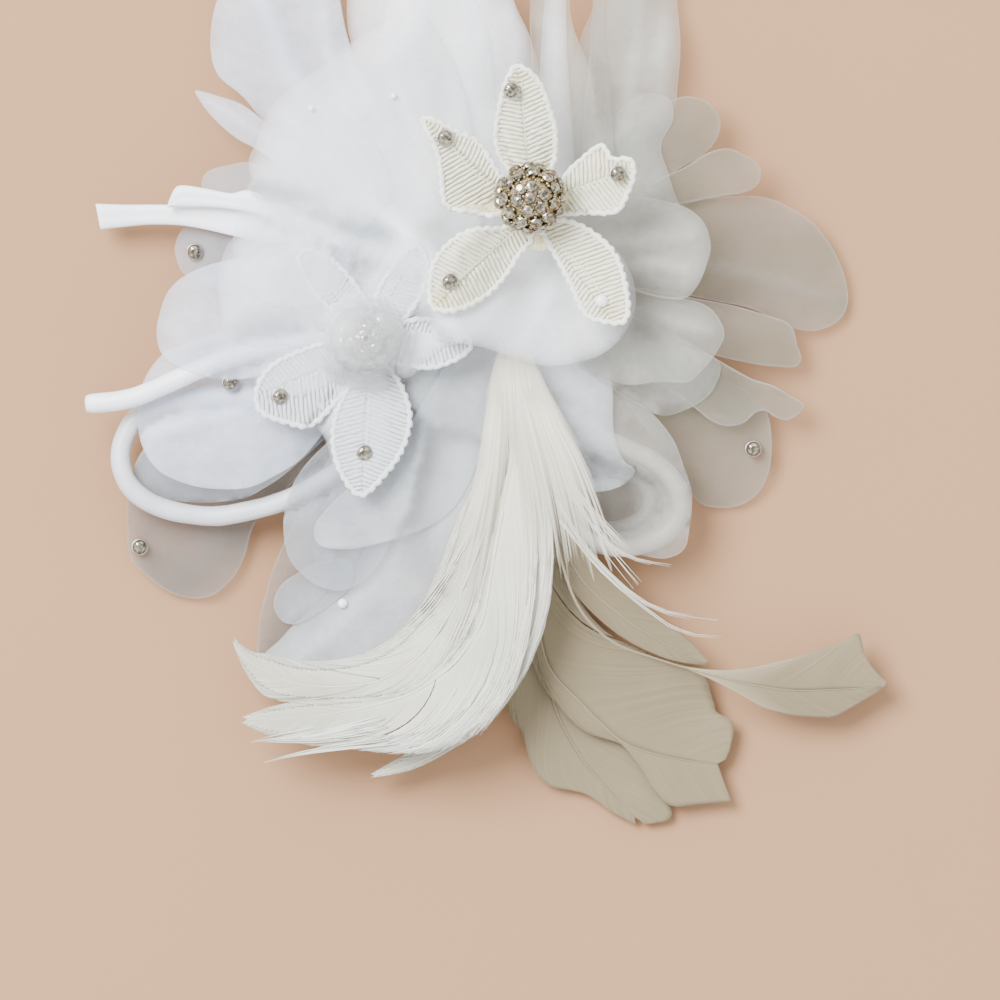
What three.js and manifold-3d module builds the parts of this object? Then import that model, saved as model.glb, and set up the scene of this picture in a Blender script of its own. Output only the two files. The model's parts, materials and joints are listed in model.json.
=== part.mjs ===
// Flower fascinator: organza petals, two lace blossoms with crystal buttons, satin tubing and goose
// feathers, sewn to a round base that a sprung hair clip carries. It lies on its back on a table.
// Millimetres: z = 0 is the table, +Z is out of the flower's face, +Y is towards its top petals.
import * as THREE from 'three';
import { mergeVertices } from 'three/addons/utils/BufferGeometryUtils.js';
import Module from 'manifold-3d';

const wasm = await Module();
wasm.setup();

// Driving dimensions of the whole flower
const spread = 100;
const seat_gap = 0.3;

// Hair clip: a plate with a stamped panel that hair is gripped against, a sprung jaw under it, their
// pin and the spring round the pin
const clip_length = 50;
const clip_width = 8;
const clip_metal = 0.8;
const clip_mouth = 5.2;
const clip_tail = 24;
const nose_length = 7;
const nose_land = 1;
const grip_panel_length = 22;
const grip_panel_width = 5;
const grip_panel_depth = 0.3;
const grip_panel_inset = 1;
const tooth_width = 0.8;
const tooth_depth = 0.6;
const ear_metal = 0.6;
const ear_length = 6;
const ear_overhang = 1.6;
const jaw_ear_length = 4.4;
const jaw_ear_overhang = 1.5;
const hinge_setback = 8;
const pin_radius = 0.8;
const pin_clearance = 0.2;
const pin_head_radius = 1.4;
const pin_head_length = 0.6;
const spring_wire = 0.6;
const spring_gap = 0.45;
const spring_leg = 7;
const spring_curls = 3;
const overrun = 2;

// Round base: felt against the hair, stiff buckram that the petals are sewn to
const felt_radius = 31;
const felt_thickness = 1.2;
const base_radius = 29;
const base_thickness = 1.6;
const base_edge_round = 0.6;

// Sheets, tubing and stones
const organza_thickness = 0.4;
const feather_thickness = 0.4;
const satin_thickness = 0.8;
const lace_thickness = 0.8;
const tubing_diameter = 4;
const stone_radius = 1.6;
const stone_height = 1.3;
const stone_girdle = 0.5;
const button_radius = 7.2;
const button_height = 9.5;
const button_foot = 1;
const blossom_hub_radius = 7;

// The stacking of the layers is surveyed on a grid of small cells
const survey_cell = 1;
const survey_margin_share = 1.25;
const settled = 0.01;

const organza = { color: 0xf1f1f4, roughness: 0.55, metalness: 0 };
const satin = { color: 0xf7f7fa, roughness: 0.35, metalness: 0 };
const lace = { color: 0xf0eee2, roughness: 0.85, metalness: 0 };
const white_feather = { color: 0xf0eee8, roughness: 0.7, metalness: 0 };
const ivory_feather = { color: 0xd8ccb4, roughness: 0.7, metalness: 0 };
const crystal = { color: 0xb9bcc0, roughness: 0.1, metalness: 0.6 };
const setting = { color: 0xc9bfa8, roughness: 0.25, metalness: 0.9 };
const steel = { color: 0xa9abad, roughness: 0.3, metalness: 0.95 };
const felt = { color: 0xeeece6, roughness: 0.95, metalness: 0 };
const buckram = { color: 0xe6e2d8, roughness: 0.9, metalness: 0 };

// Petals from the table upwards. Every number is a share of the spread, or of the petal itself:
// line runs from root to tip, with its first point a share of the base's radius, to which the root is
// sewn, width is the widest place, shoulder says where along the line it is, blunt and corner shape
// the end, tip and arch are heights, cup lifts the long edges and ripple waves them.
const ground_petal_shares = [
  { name: 'petal_low_left', width: 0.275, shoulder: 0.62, tip: 0.004,
    line: [[-0.69, -0.55], [-0.43, -0.3], [-0.502, -0.46], [-0.51, -0.64]],
    stones: [[-0.62, -0.534]] },
  { name: 'petal_low_back', width: 0.19, tip: 0.004,
    line: [[-0.34, -0.9], [-0.24, -0.55], [-0.29, -0.82]] },
  { name: 'petal_right_low', width: 0.19, shoulder: 0.7, tip: 0.004,
    line: [[0.83, -0.21], [0.49, -0.22], [0.556, -0.34], [0.566, -0.456]],
    stones: [[0.606, -0.338]] },
  { name: 'petal_top_left', width: 0.27, shoulder: 0.55, tip: 0.01, cup: 0.02,
    line: [[-0.34, 0.62], [-0.28, 0.36], [-0.342, 0.54], [-0.35, 0.71]] },
  { name: 'petal_top_right', width: 0.176, tip: 0.01, cup: 0.02,
    line: [[0.76, 0.34], [0.35, 0.34], [0.372, 0.5], [0.368, 0.7]] },
  { name: 'petal_right_big', width: 0.236, shoulder: 0.68, blunt: 2.4, tip: 0.006, ripple: 0.012,
    line: [[0.83, 0.28], [0.5, 0.074], [0.66, 0.034], [0.8, -0.03]] },
  { name: 'petal_right_lobe', width: 0.15, shoulder: 0.75, blunt: 3, tip: 0.02,
    line: [[0.76, 0], [0.54, -0.08], [0.702, -0.134]] },
  { name: 'petal_left_stone', width: 0.124, shoulder: 0.7, tip: 0.02, arch: 0.02,
    line: [[-0.69, -0.07], [-0.38, 0.044], [-0.552, 0.06]],
    stones: [[-0.51, 0.056]] },
  { name: 'petal_left_point', width: 0.112, shoulder: 0.45, blunt: 1.5, corner: 1, tip: 0.06,
    arch: 0.02, cup: 0.02, line: [[-0.48, 0.34], [-0.32, 0.26], [-0.42, 0.322], [-0.51, 0.376]] },
  { name: 'petal_left_small', width: 0.08, shoulder: 0.78, blunt: 3, tip: 0.05,
    line: [[-0.55, 0.28], [-0.34, 0.19], [-0.494, 0.204]] },
  { name: 'petal_right_small_upper', width: 0.12, shoulder: 0.75, tip: 0.05, cup: 0.02,
    line: [[0.76, 0.45], [0.42, 0.27], [0.542, 0.32]] },
  { name: 'petal_right_small_lower', width: 0.1, shoulder: 0.75, tip: 0.06, ripple: 0.015,
    line: [[0.83, 0.31], [0.48, 0.19], [0.626, 0.21]] },
  { name: 'petal_right_fold', width: 0.13, shoulder: 0.55, blunt: 1.6, corner: 0.8, tip: 0.03,
    arch: 0.02, ripple: 0.012, line: [[0.83, -0.14], [0.48, -0.17], [0.61, -0.216], [0.708, -0.256]] },
  { name: 'petal_low_wide', width: 0.22, tip: 0.02, ripple: 0.012,
    line: [[0, -0.83], [-0.08, -0.58], [-0.19, -0.74], [-0.364, -0.83]] },
  { name: 'petal_left_inner', width: 0.13, shoulder: 0.6, tip: 0.02, cup: 0.015,
    line: [[-0.55, -0.62], [-0.32, -0.304], [-0.5, -0.356], [-0.634, -0.384]] },
];
const covering_petal_shares = [
  { name: 'petal_left_low', width: 0.21, tip: 0.06, cup: -0.02,
    line: [[-0.62, -0.48], [-0.42, -0.23], [-0.628, -0.25]],
    stones: [[-0.438, -0.206]] },
  { name: 'petal_low_middle', width: 0.17, tip: 0.03,
    line: [[-0.34, -0.69], [-0.23, -0.42], [-0.25, -0.63]] },
];
const middle_petal_shares = [
  { name: 'petal_left_middle', width: 0.2, shoulder: 0.7, blunt: 2.3, tip: 0.12, arch: 0.03,
    line: [[-0.62, -0.14], [-0.42, -0.07], [-0.586, -0.084]] },
  { name: 'petal_right_veil', width: 0.2, blunt: 2.6, tip: 0.05, arch: 0.03,
    line: [[0.62, -0.48], [0.3, -0.26], [0.38, -0.4], [0.41, -0.556]] },
  { name: 'petal_top_back', width: 0.24, tip: 0.1, cup: 0.02,
    line: [[0, 0.41], [-0.1, 0.4], [-0.09, 0.71]] },
  { name: 'petal_centre_low', width: 0.18, tip: 0.12, ripple: 0.012,
    line: [[0.34, -0.14], [0.01, -0.18], [-0.02, -0.304]] },
  { name: 'petal_centre_low_right', width: 0.17, tip: 0.12, ripple: 0.012,
    line: [[0.55, -0.34], [0.24, -0.26], [0.31, -0.4]] },
];
const crown_petal_shares = [
  { name: 'petal_crown_top', width: 0.33, shoulder: 0.5, tip: 0.2, cup: 0.03, ripple: 0.015,
    line: [[0.41, 0.41], [-0.02, 0.36], [-0.01, 0.52], [0.04, 0.69]] },
  { name: 'petal_crown_top_right', width: 0.13, tip: 0.2, cup: 0.05,
    line: [[0.72, 0.45], [0.224, 0.34], [0.19, 0.56], [0.166, 0.71]] },
  { name: 'petal_crown_left', width: 0.42, shoulder: 0.7, blunt: 3, tip: 0.22, cup: 0.02,
    line: [[0.07, 0.14], [-0.17, 0.22], [-0.31, 0.39]] },
  { name: 'petal_veil', width: 0.27, shoulder: 0.75, blunt: 4, tip: 0.2, arch: 0.04,
    line: [[0.21, -0.07], [-0.2, -0.02], [-0.456, -0.016]] },
  { name: 'petal_inner_right_low', width: 0.17, blunt: 2.6, tip: 0.18, ripple: 0.02,
    line: [[0.66, 0.07], [0.38, -0.09], [0.544, -0.12]] },
  { name: 'petal_inner_right', width: 0.19, tip: 0.2, ripple: 0.015,
    line: [[0.66, 0.31], [0.38, 0.07], [0.52, 0.056]] },
  { name: 'petal_front_low', width: 0.28, blunt: 3, tip: 0.26, arch: 0.03, ripple: 0.02,
    line: [[0.55, 0.28], [0.1, -0.06], [0.05, -0.19]] },
];

// Feathers, shared out in the same way. The vane starts at the neck, past the bare quill.
const feather_shares = [
  { name: 'feather_ivory_low', kind: ivory_feather, width: 0.18, neck: 0.25, corner: 0.8,
    tip: 0.004, line: [[0.45, -0.9], [0.14, -0.64], [0.22, -0.88], [0.39, -1.08]] },
  { name: 'feather_ivory_wide', kind: ivory_feather, width: 0.28, neck: 0.2, shoulder: 0.75,
    blunt: 4, corner: 0.8, tip: 0.01, arch: 0.02,
    line: [[0.48, -0.9], [0.19, -0.56], [0.28, -0.79], [0.42, -0.9], [0.565, -0.95]] },
  { name: 'feather_ivory_narrow', kind: ivory_feather, width: 0.08, neck: 0.3, corner: 0.9,
    tip: 0.02, arch: 0.03, line: [[0.55, -0.9], [0.23, -0.56], [0.38, -0.68], [0.522, -0.776]] },
  { name: 'feather_stripped', kind: ivory_feather, width: 0.168, neck: 0.62, shoulder: 0.8,
    blunt: 1, corner: 1, tip: 0.02, arch: 0.04, quill: 0.012,
    line: [[0.59, -0.9], [0.22, -0.6], [0.38, -0.74], [0.51, -0.784], [0.7, -0.79], [0.876, -0.808]] },
  { name: 'feather_white_fold', kind: white_feather, width: 0.11, neck: 0.1, corner: 0.8,
    tip: 0.05, arch: 0.06, line: [[0.38, -0.83], [0.09, -0.48], [0.01, -0.68], [-0.104, -0.834]] },
  { name: 'feather_white_left', kind: white_feather, width: 0.07, neck: 0.1, shoulder: 0.5,
    corner: 1, tip: 0.08, arch: 0.02,
    line: [[0.41, -0.83], [0.18, -0.56], [0.1, -0.78], [-0.06, -0.85], [-0.26, -0.85],
      [-0.39, -0.81], [-0.436, -0.72]] },
  { name: 'feather_white_low', kind: white_feather, width: 0.08, neck: 0.1, shoulder: 0.5,
    corner: 1, tip: 0.02, arch: 0.02,
    line: [[0.48, -0.83], [0.21, -0.6], [0.16, -0.82], [0.04, -0.94], [-0.164, -0.992]] },
  { name: 'feather_white_main', kind: white_feather, width: 0.13, neck: 0.1, shoulder: 0.6,
    corner: 0.9, tip: 0.06, arch: 0.04,
    line: [[0.41, -0.76], [0.19, -0.58], [0.12, -0.82], [-0.02, -0.89], [-0.22, -0.9], [-0.41, -0.88]] },
];
const feather_rows = 13;
const feather_columns = 5;

// Folded satin strips that stand out on the left
const satin_strip_shares = [
  { name: 'satin_tail_upper', width: 0.05, shoulder: 1, stalk: 0.7, tip: 0.012,
    line: [[-0.41, 0.07], [-0.3, 0.1], [-0.46, 0.13], [-0.6, 0.126], [-0.704, 0.126]] },
  { name: 'satin_fold', width: 0.036, shoulder: 0.9, stalk: 0.9, blunt: 1, corner: 0.6, tip: 0.06,
    line: [[-0.41, 0.21], [-0.3, 0.13], [-0.43, 0.165], [-0.56, 0.172]] },
];
const strip_rows = 9;
const strip_columns = 4;

// Lace blossoms: place is the middle, reach the length of each petal, turn its compass angle in
// turns from +X, half_turn half its angular width, lift the height of its tip over the hub
const front_blossom_shares = {
  name: 'lace_blossom_front', place: [0.16, 0.16], sharp: 1.5,
  petals: [
    { turn: 0.268, half_turn: 0.095, reach: 0.262, lift: 0.08 },
    { turn: 0.415, half_turn: 0.095, reach: 0.245, lift: 0.06 },
    { turn: 0.638, half_turn: 0.1, reach: 0.275, lift: 0.03 },
    { turn: 0.853, half_turn: 0.09, reach: 0.295, lift: 0.03 },
    { turn: 0.068, half_turn: 0.09, reach: 0.22, lift: 0.09 },
  ],
  stones: [[0.122, 0.374], [-0.01, 0.28], [0, -0.006], [0.334, 0.208]],
};
const veiled_blossom_shares = {
  name: 'lace_blossom_veiled', place: [-0.17, -0.12], sharp: 1.5,
  petals: [
    { turn: 0.572, half_turn: 0.095, reach: 0.23, lift: 0.02 },
    { turn: 0.748, half_turn: 0.095, reach: 0.31, lift: 0 },
    { turn: 0.95, half_turn: 0.09, reach: 0.2, lift: 0.02 },
    { turn: 0.16, half_turn: 0.09, reach: 0.2, lift: 0.03 },
    { turn: 0.36, half_turn: 0.09, reach: 0.22, lift: 0.03 },
  ],
};
const rays_per_petal = 8;
const blossom_ring_shares = [0.3, 0.55, 0.8, 1];

// Routes of the satin tubing, chosen by hand: each point is x, y, z of the tube's middle
const tail_route = [
  [-4, -10, 16.2], [-10, -11.2, 16.4], [-16, -12, 16.6], [-22, -12.6, 16.9], [-28, -13.2, 17.1],
  [-34, -13.8, 17], [-39, -14.4, 16.9], [-43, -15.4, 16.8], [-47, -16.8, 16.7], [-51, -18.4, 16.5],
  [-55, -20.2, 16.2], [-59, -22, 15.7], [-62.6, -23.4, 15.2], [-66, -24.2, 14.5], [-69.4, -24.6, 13.7],
  [-72.4, -24.8, 13],
];
const left_loop_route = [
  [-10, -18.4, 14.2], [-18, -20.8, 14.2], [-26, -22.4, 14.4], [-33, -23.2, 14],
  [-40, -23.4, 12.6], [-47, -23.4, 11.6], [-53.6, -23.8, 10.8], [-58.6, -25, 9.8], [-62.6, -27.6, 8.7],
  [-65, -31.4, 8.4], [-65.8, -35.6, 8.5], [-64.8, -39.8, 8.8], [-62.2, -43, 8.6], [-58, -45.4, 8],
  [-52.4, -46.8, 7.8], [-46.4, -47.2, 8], [-40.4, -46.2, 8.6], [-35, -44.8, 9.4], [-30, -42.8, 10.8],
  [-25, -40, 12.6], [-20, -36.6, 13.6], [-15, -32.8, 13.8], [-10, -28.8, 13.8],
];
const right_loops_route = [
  [16, -24, 15], [22, -27, 14.6], [28, -30.4, 14], [34, -33.2, 13.2], [39.6, -35.8, 12.2],
  [43.6, -39, 11], [46, -43.2, 10], [45.6, -47.4, 9.4], [42.8, -50.8, 9], [38.4, -52.8, 8.8],
  [33.2, -53.4, 8.8], [28, -52.2, 8.8], [23.6, -49.4, 8.8], [21, -45.4, 8.6], [21.4, -41.2, 8.2],
  [24.6, -38, 7.6], [29.2, -36.8, 6.8], [34.4, -37.4, 5.8], [38.4, -39.6, 4.8], [40.4, -43.2, 4],
  [39.4, -47, 3.4], [36, -49.4, 3], [31.6, -50.2, 2.8], [27, -48.8, 2.8], [22.6, -46, 2.8],
  [18.6, -42, 3], [15, -38, 3.4],
];
const tubing_sides = 8;
const steps_per_route_point = 1.5;

// Materials and meshes
const group = new THREE.Group();

function place_mesh(name, geometry, look) {
  const mesh = new THREE.Mesh(geometry, new THREE.MeshStandardMaterial(look));
  mesh.name = name;
  group.add(mesh);
  return mesh;
}

// Booleans on closed geometries
function to_solid(geometry) {
  const bare = geometry.clone();
  bare.deleteAttribute('normal');
  bare.deleteAttribute('uv');
  const merged = mergeVertices(bare, settled * settled);
  return new wasm.Manifold(new wasm.Mesh({
    numProp: 3,
    vertProperties: new Float32Array(merged.attributes.position.array),
    triVerts: new Uint32Array(merged.index.array),
  }));
}

function to_geometry(solid) {
  const mesh = solid.getMesh();
  const geometry = new THREE.BufferGeometry();
  geometry.setAttribute('position', new THREE.BufferAttribute(mesh.vertProperties, mesh.numProp));
  geometry.setIndex(new THREE.BufferAttribute(mesh.triVerts, 1));
  geometry.computeVertexNormals();
  return geometry;
}

function box_between(low, high) {
  const size = high.map((value, axis) => value - low[axis]);
  const middle = high.map((value, axis) => (value + low[axis]) / 2);
  return new THREE.BoxGeometry(...size).translate(...middle);
}

function cylinder_along_y(radius, length, sides) {
  return new THREE.CylinderGeometry(radius, radius, length, sides);
}

// The survey keeps the highest surface laid so far over each small cell of the plan
const survey_reach = spread * survey_margin_share;
const survey_size = Math.ceil((2 * survey_reach) / survey_cell);
const survey = new Float32Array(survey_size * survey_size);

function cell_middle(index) {
  return (index + 0.5) * survey_cell - survey_reach;
}

function cell_of(place) {
  return Math.floor((place + survey_reach) / survey_cell);
}

// Calls visit(column, row, shares) for each cell whose middle lies in the triangle's plan, and for
// each cell that its edges cross, so that a narrow quill is not missed
function cells_in_triangle(a, b, c, visit) {
  const edges = [[a, b, (share) => [1 - share, share, 0]], [b, c, (share) => [0, 1 - share, share]],
    [c, a, (share) => [share, 0, 1 - share]]];
  for (const [from, to, shares_at] of edges) {
    const steps = Math.ceil(Math.hypot(to[0] - from[0], to[1] - from[1]) / survey_cell) + 1;
    for (let step = 0; step <= steps; step++) {
      const share = step / steps;
      const x = from[0] * (1 - share) + to[0] * share;
      const y = from[1] * (1 - share) + to[1] * share;
      visit(cell_of(x), cell_of(y), shares_at(share));
    }
  }
  const area = (b[0] - a[0]) * (c[1] - a[1]) - (c[0] - a[0]) * (b[1] - a[1]);
  if (area === 0) return;
  const low_x = cell_of(Math.min(a[0], b[0], c[0]));
  const high_x = cell_of(Math.max(a[0], b[0], c[0]));
  const low_y = cell_of(Math.min(a[1], b[1], c[1]));
  const high_y = cell_of(Math.max(a[1], b[1], c[1]));
  for (let row = low_y; row <= high_y; row++) {
    for (let column = low_x; column <= high_x; column++) {
      const x = cell_middle(column);
      const y = cell_middle(row);
      const share_b = ((x - a[0]) * (c[1] - a[1]) - (c[0] - a[0]) * (y - a[1])) / area;
      const share_c = ((b[0] - a[0]) * (y - a[1]) - (x - a[0]) * (b[1] - a[1])) / area;
      const shares = [1 - share_b - share_c, share_b, share_c];
      if (Math.min(...shares) >= 0) visit(column, row, shares);
    }
  }
}

function record_geometry(geometry) {
  const position = geometry.attributes.position;
  const corner_count = geometry.index ? geometry.index.count : position.count;
  const corner = (at) => {
    const vertex = geometry.index ? geometry.index.getX(at) : at;
    return [position.getX(vertex), position.getY(vertex), position.getZ(vertex)];
  };
  for (let at = 0; at < corner_count; at += 3) {
    const [a, b, c] = [corner(at), corner(at + 1), corner(at + 2)];
    cells_in_triangle(a, b, c, (column, row, shares) => {
      const height = shares[0] * a[2] + shares[1] * b[2] + shares[2] * c[2];
      const cell = row * survey_size + column;
      survey[cell] = Math.max(survey[cell], height);
    });
  }
}

function lay_mesh(name, geometry, look) {
  place_mesh(name, geometry, look);
  record_geometry(geometry);
}

// The lowest height that clears everything laid so far, over a cell and the eight cells round it
function clear_over(column, row) {
  let highest = 0;
  for (let y = row - 1; y <= row + 1; y++) {
    for (let x = column - 1; x <= column + 1; x++) {
      highest = Math.max(highest, survey[y * survey_size + x]);
    }
  }
  return highest + seat_gap;
}

// The same under a round foot
function clear_round(x, y, radius) {
  let highest = 0;
  for (let row = cell_of(y - radius); row <= cell_of(y + radius); row++) {
    for (let column = cell_of(x - radius); column <= cell_of(x + radius); column++) {
      const away = Math.hypot(cell_middle(column) - x, cell_middle(row) - y);
      if (away < radius + survey_cell) highest = Math.max(highest, survey[row * survey_size + column]);
    }
  }
  return highest + seat_gap;
}

// Sheets are grids of points. Each quad is cut into the same two triangles here and in the solid.
function quad_triangles(rows, columns, wrapped) {
  const triangles = [];
  const across = wrapped ? columns : columns - 1;
  for (let row = 0; row < rows - 1; row++) {
    for (let column = 0; column < across; column++) {
      const next = (column + 1) % columns;
      const [a, b] = [row * columns + column, row * columns + next];
      const [c, d] = [(row + 1) * columns + next, (row + 1) * columns + column];
      triangles.push([a, b, c], [a, c, d]);
    }
  }
  return triangles;
}

// Lifts a sheet's points until every triangle clears what lies under it. Pinned points stay put.
function settle_points(points, triangles, neighbours, pinned) {
  const smooth_sweeps = 8;
  const most_sweeps = 60;
  for (let sweep = 0; sweep < most_sweeps; sweep++) {
    if (sweep < smooth_sweeps) {
      points.forEach((point, at) => {
        if (pinned(at)) return;
        const mean = neighbours(at).reduce((sum, other, _, all) => sum + points[other][2] / all.length, 0);
        point[2] = Math.max(point[2], mean);
      });
    }
    let deepest = 0;
    for (const [a, b, c] of triangles) {
      const corners = [points[a], points[b], points[c]];
      cells_in_triangle(...corners, (column, row, shares) => {
        const height = shares.reduce((sum, share, at) => sum + share * corners[at][2], 0);
        const wanted = clear_over(column, row);
        const lack = wanted - height;
        if (lack < settled / 2) return;
        deepest = Math.max(deepest, lack);
        const below = corners.map((corner, at) => (shares[at] > 0 ? Math.max(0, wanted - corner[2]) : 0));
        const pull = lack / below.reduce((sum, depth, at) => sum + depth * shares[at], 0);
        corners.forEach((corner, at) => { corner[2] += pull * below[at]; });
      });
    }
    if (sweep >= smooth_sweeps && deepest < settled) break;
  }
}

// A closed solid from a laid sheet: the grid, the same grid lifted by the thickness, and the rim
function sheet_geometry(points, triangles, rim, thickness) {
  const count = points.length;
  const positions = [];
  points.forEach((point) => positions.push(...point));
  points.forEach((point) => positions.push(point[0], point[1], point[2] + thickness));
  const index = [];
  for (const [a, b, c] of triangles) index.push(a, c, b, a + count, b + count, c + count);
  rim.forEach((from, at) => {
    const to = rim[(at + 1) % rim.length];
    index.push(from, to, to + count, from, to + count, from + count);
  });
  const geometry = new THREE.BufferGeometry();
  geometry.setAttribute('position', new THREE.Float32BufferAttribute(positions, 3));
  geometry.setIndex(index);
  geometry.computeVertexNormals();
  return geometry;
}

function smooth_step(share) {
  return share * share * (3 - 2 * share);
}

// Half the width of a petal, vane or strip at a share of its length, as a share of its half width
function half_profile(sheet, along) {
  const { neck = 0, quill = 0.06, stalk = 0.45, shoulder = 0.65, blunt = 2.2, corner = 0.5 } = sheet;
  const quill_share = quill * (neck > 0 ? 1 : 0);
  if (along < neck) return quill_share;
  const vane = (along - neck) / (1 - neck);
  const start = neck > 0 ? quill_share : stalk;
  if (vane < shoulder) return start + (1 - start) * Math.sin((Math.PI / 2) * (vane / shoulder));
  if (shoulder === 1) return 1;
  const past = Math.min(1, (vane - shoulder) / (1 - shoulder));
  return Math.max(quill, (1 - past ** blunt) ** corner);
}

const petal_rows = 9;
const petal_columns = 6;
const tip_crowding = 1.8;

function lay_sheet(sheet, look, thickness, rows = petal_rows, columns = petal_columns) {
  const { tip, arch = 0, cup = 0, ripple = 0 } = sheet;
  const midline = new THREE.CatmullRomCurve3(sheet.line.map(([x, y], at) => {
    const follows = at === 0 ? base_radius : spread;
    return new THREE.Vector3(x * follows, y * follows, 0);
  }));
  const root = midline.getPoint(0);
  const root_height = clear_over(cell_of(root.x), cell_of(root.y));
  const crowding = sheet.neck || sheet.shoulder === 1 ? 1 : tip_crowding;
  const points = [];
  for (let row = 0; row < rows; row++) {
    const along = 1 - (1 - row / (rows - 1)) ** crowding;
    const middle = midline.getPointAt(along);
    const ahead = midline.getTangentAt(along);
    const half = (half_profile(sheet, along) * sheet.width * spread) / 2;
    for (let column = 0; column < columns; column++) {
      const across = (2 * column) / (columns - 1) - 1;
      const x = middle.x - ahead.y * half * across;
      const y = middle.y + ahead.x * half * across;
      const rise = smooth_step(along);
      const wave = ripple * Math.sin(3 * Math.PI * across) * along * along;
      const share = tip * rise + arch * Math.sin(Math.PI * along) + cup * across * across * rise + wave;
      points.push([x, y, root_height * (1 - rise) + share * spread]);
    }
  }
  const triangles = quad_triangles(rows, columns, false).map(([a, b, c]) => [a, c, b]);
  const neighbours = (at) => {
    const column = at % columns;
    return [at - columns, at + columns, column > 0 ? at - 1 : -1, column < columns - 1 ? at + 1 : -1]
      .filter((other) => other >= 0 && other < points.length);
  };
  settle_points(points, triangles, neighbours, (at) => at < columns);
  const rim = [];
  for (let column = columns - 1; column > 0; column--) rim.push(column);
  for (let row = 0; row < rows - 1; row++) rim.push(row * columns);
  for (let column = 0; column < columns - 1; column++) rim.push((rows - 1) * columns + column);
  for (let row = rows - 1; row > 0; row--) rim.push(row * columns + columns - 1);
  lay_mesh(sheet.name, sheet_geometry(points, triangles, rim, thickness), look);
  lay_stones(sheet.stones);
}

// Flat-backed stones, numbered in the order in which they are laid
const stone_sides = 8;
let stone_count = 0;

function lay_stones(places = []) {
  for (const [x_share, y_share] of places) {
    const [x, y] = [x_share * spread, y_share * spread];
    const profile = [
      [0, 0], [stone_radius, 0], [stone_radius, stone_girdle], [stone_radius / 2, stone_height],
      [0, stone_height],
    ].map(([radius, height]) => new THREE.Vector2(radius, height));
    const stone = new THREE.LatheGeometry(profile, stone_sides).rotateX(Math.PI / 2);
    stone_count += 1;
    stone.translate(x, y, clear_round(x, y, stone_radius));
    lay_mesh(`rhinestone_${stone_count}`, stone, crystal);
  }
}

// A lace blossom is one sheet that runs round its middle, with a petal along each ray of its star
function lay_blossom(blossom) {
  const [middle_x, middle_y] = blossom.place.map((share) => share * spread);
  const rays = [];
  for (const petal of blossom.petals) {
    for (let ray = 0; ray < rays_per_petal; ray++) {
      const swing = (2 * ray) / (rays_per_petal - 1) - 1;
      const fall = Math.cos((Math.PI / 2) * swing) ** blossom.sharp;
      rays.push({
        angle: 2 * Math.PI * (petal.turn + swing * petal.half_turn),
        reach: blossom_hub_radius + (petal.reach * spread - blossom_hub_radius) * fall,
        lift: petal.lift * fall * spread,
      });
    }
  }
  rays.sort((one, other) => one.angle - other.angle);
  const hub_height = clear_round(middle_x, middle_y, button_radius);
  const points = [[middle_x, middle_y, hub_height]];
  for (const share of blossom_ring_shares) {
    for (const ray of rays) {
      const radius = ray.reach * share;
      points.push([
        middle_x + radius * Math.cos(ray.angle), middle_y + radius * Math.sin(ray.angle),
        hub_height + ray.lift * share * share,
      ]);
    }
  }
  const count = rays.length;
  const triangles = rays.map((_, at) => [0, 1 + at, 1 + ((at + 1) % count)]);
  const ring_triangles = quad_triangles(blossom_ring_shares.length, count, true);
  ring_triangles.forEach(([a, b, c]) => triangles.push([1 + a, 1 + c, 1 + b]));
  const neighbours = (at) => [at - count, at + count].map((other) => Math.max(0, other))
    .filter((other) => other < points.length);
  settle_points(points, triangles, neighbours, (at) => at === 0);
  const first_rim = 1 + (blossom_ring_shares.length - 1) * count;
  const rim = rays.map((_, at) => first_rim + at);
  lay_mesh(blossom.name, sheet_geometry(points, triangles, rim, lace_thickness), lace);
  lay_button(blossom, middle_x, middle_y);
  lay_stones(blossom.stones);
}

// The crystal button: a domed setting whose studs stand for its claws and stones
const button_rings = 7;
const button_sides = 20;
const stud_share = 0.07;

function lay_button(blossom, x, y) {
  const points = [[0, 0, 0], [0, 0, button_height]];
  for (let ring = 0; ring < button_rings; ring++) {
    const tilt = (Math.PI / 2) * (ring / button_rings);
    for (let side = 0; side < button_sides; side++) {
      const turn = (2 * Math.PI * side) / button_sides;
      const stud = ring > 0 && (ring + side) % 2 ? stud_share : 0;
      const radius = button_radius * Math.cos(tilt) * (1 + stud);
      const height = ring ? button_foot + (button_height - button_foot) * Math.sin(tilt) : 0;
      points.push([radius * Math.cos(turn), radius * Math.sin(turn), height * (1 + stud / 2)]);
    }
  }
  const index = [];
  for (let side = 0; side < button_sides; side++) {
    const next = (side + 1) % button_sides;
    index.push(0, 2 + next, 2 + side);
    for (let ring = 0; ring < button_rings - 1; ring++) {
      const low = 2 + ring * button_sides;
      const high = low + button_sides;
      index.push(low + side, low + next, high + next, low + side, high + next, high + side);
    }
    const last = 2 + (button_rings - 1) * button_sides;
    index.push(last + side, last + next, 1);
  }
  const geometry = new THREE.BufferGeometry();
  geometry.setAttribute('position', new THREE.Float32BufferAttribute(points.flat(), 3));
  geometry.setIndex(index);
  geometry.computeVertexNormals();
  geometry.translate(x, y, clear_round(x, y, button_radius));
  lay_mesh(blossom.name.replace('lace_blossom', 'crystal_button'), geometry, setting);
}

// Satin tubing along its route
function lay_tubing(name, route) {
  const path = new THREE.CatmullRomCurve3(route.map((point) => new THREE.Vector3(...point)));
  const section = new THREE.Shape();
  section.absarc(0, 0, tubing_diameter / 2, 0, 2 * Math.PI);
  const steps = Math.round(route.length * steps_per_route_point);
  const settings = { steps, curveSegments: tubing_sides / 2, extrudePath: path, bevelEnabled: false };
  lay_mesh(name, new THREE.ExtrudeGeometry(section, settings), satin);
}

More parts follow.
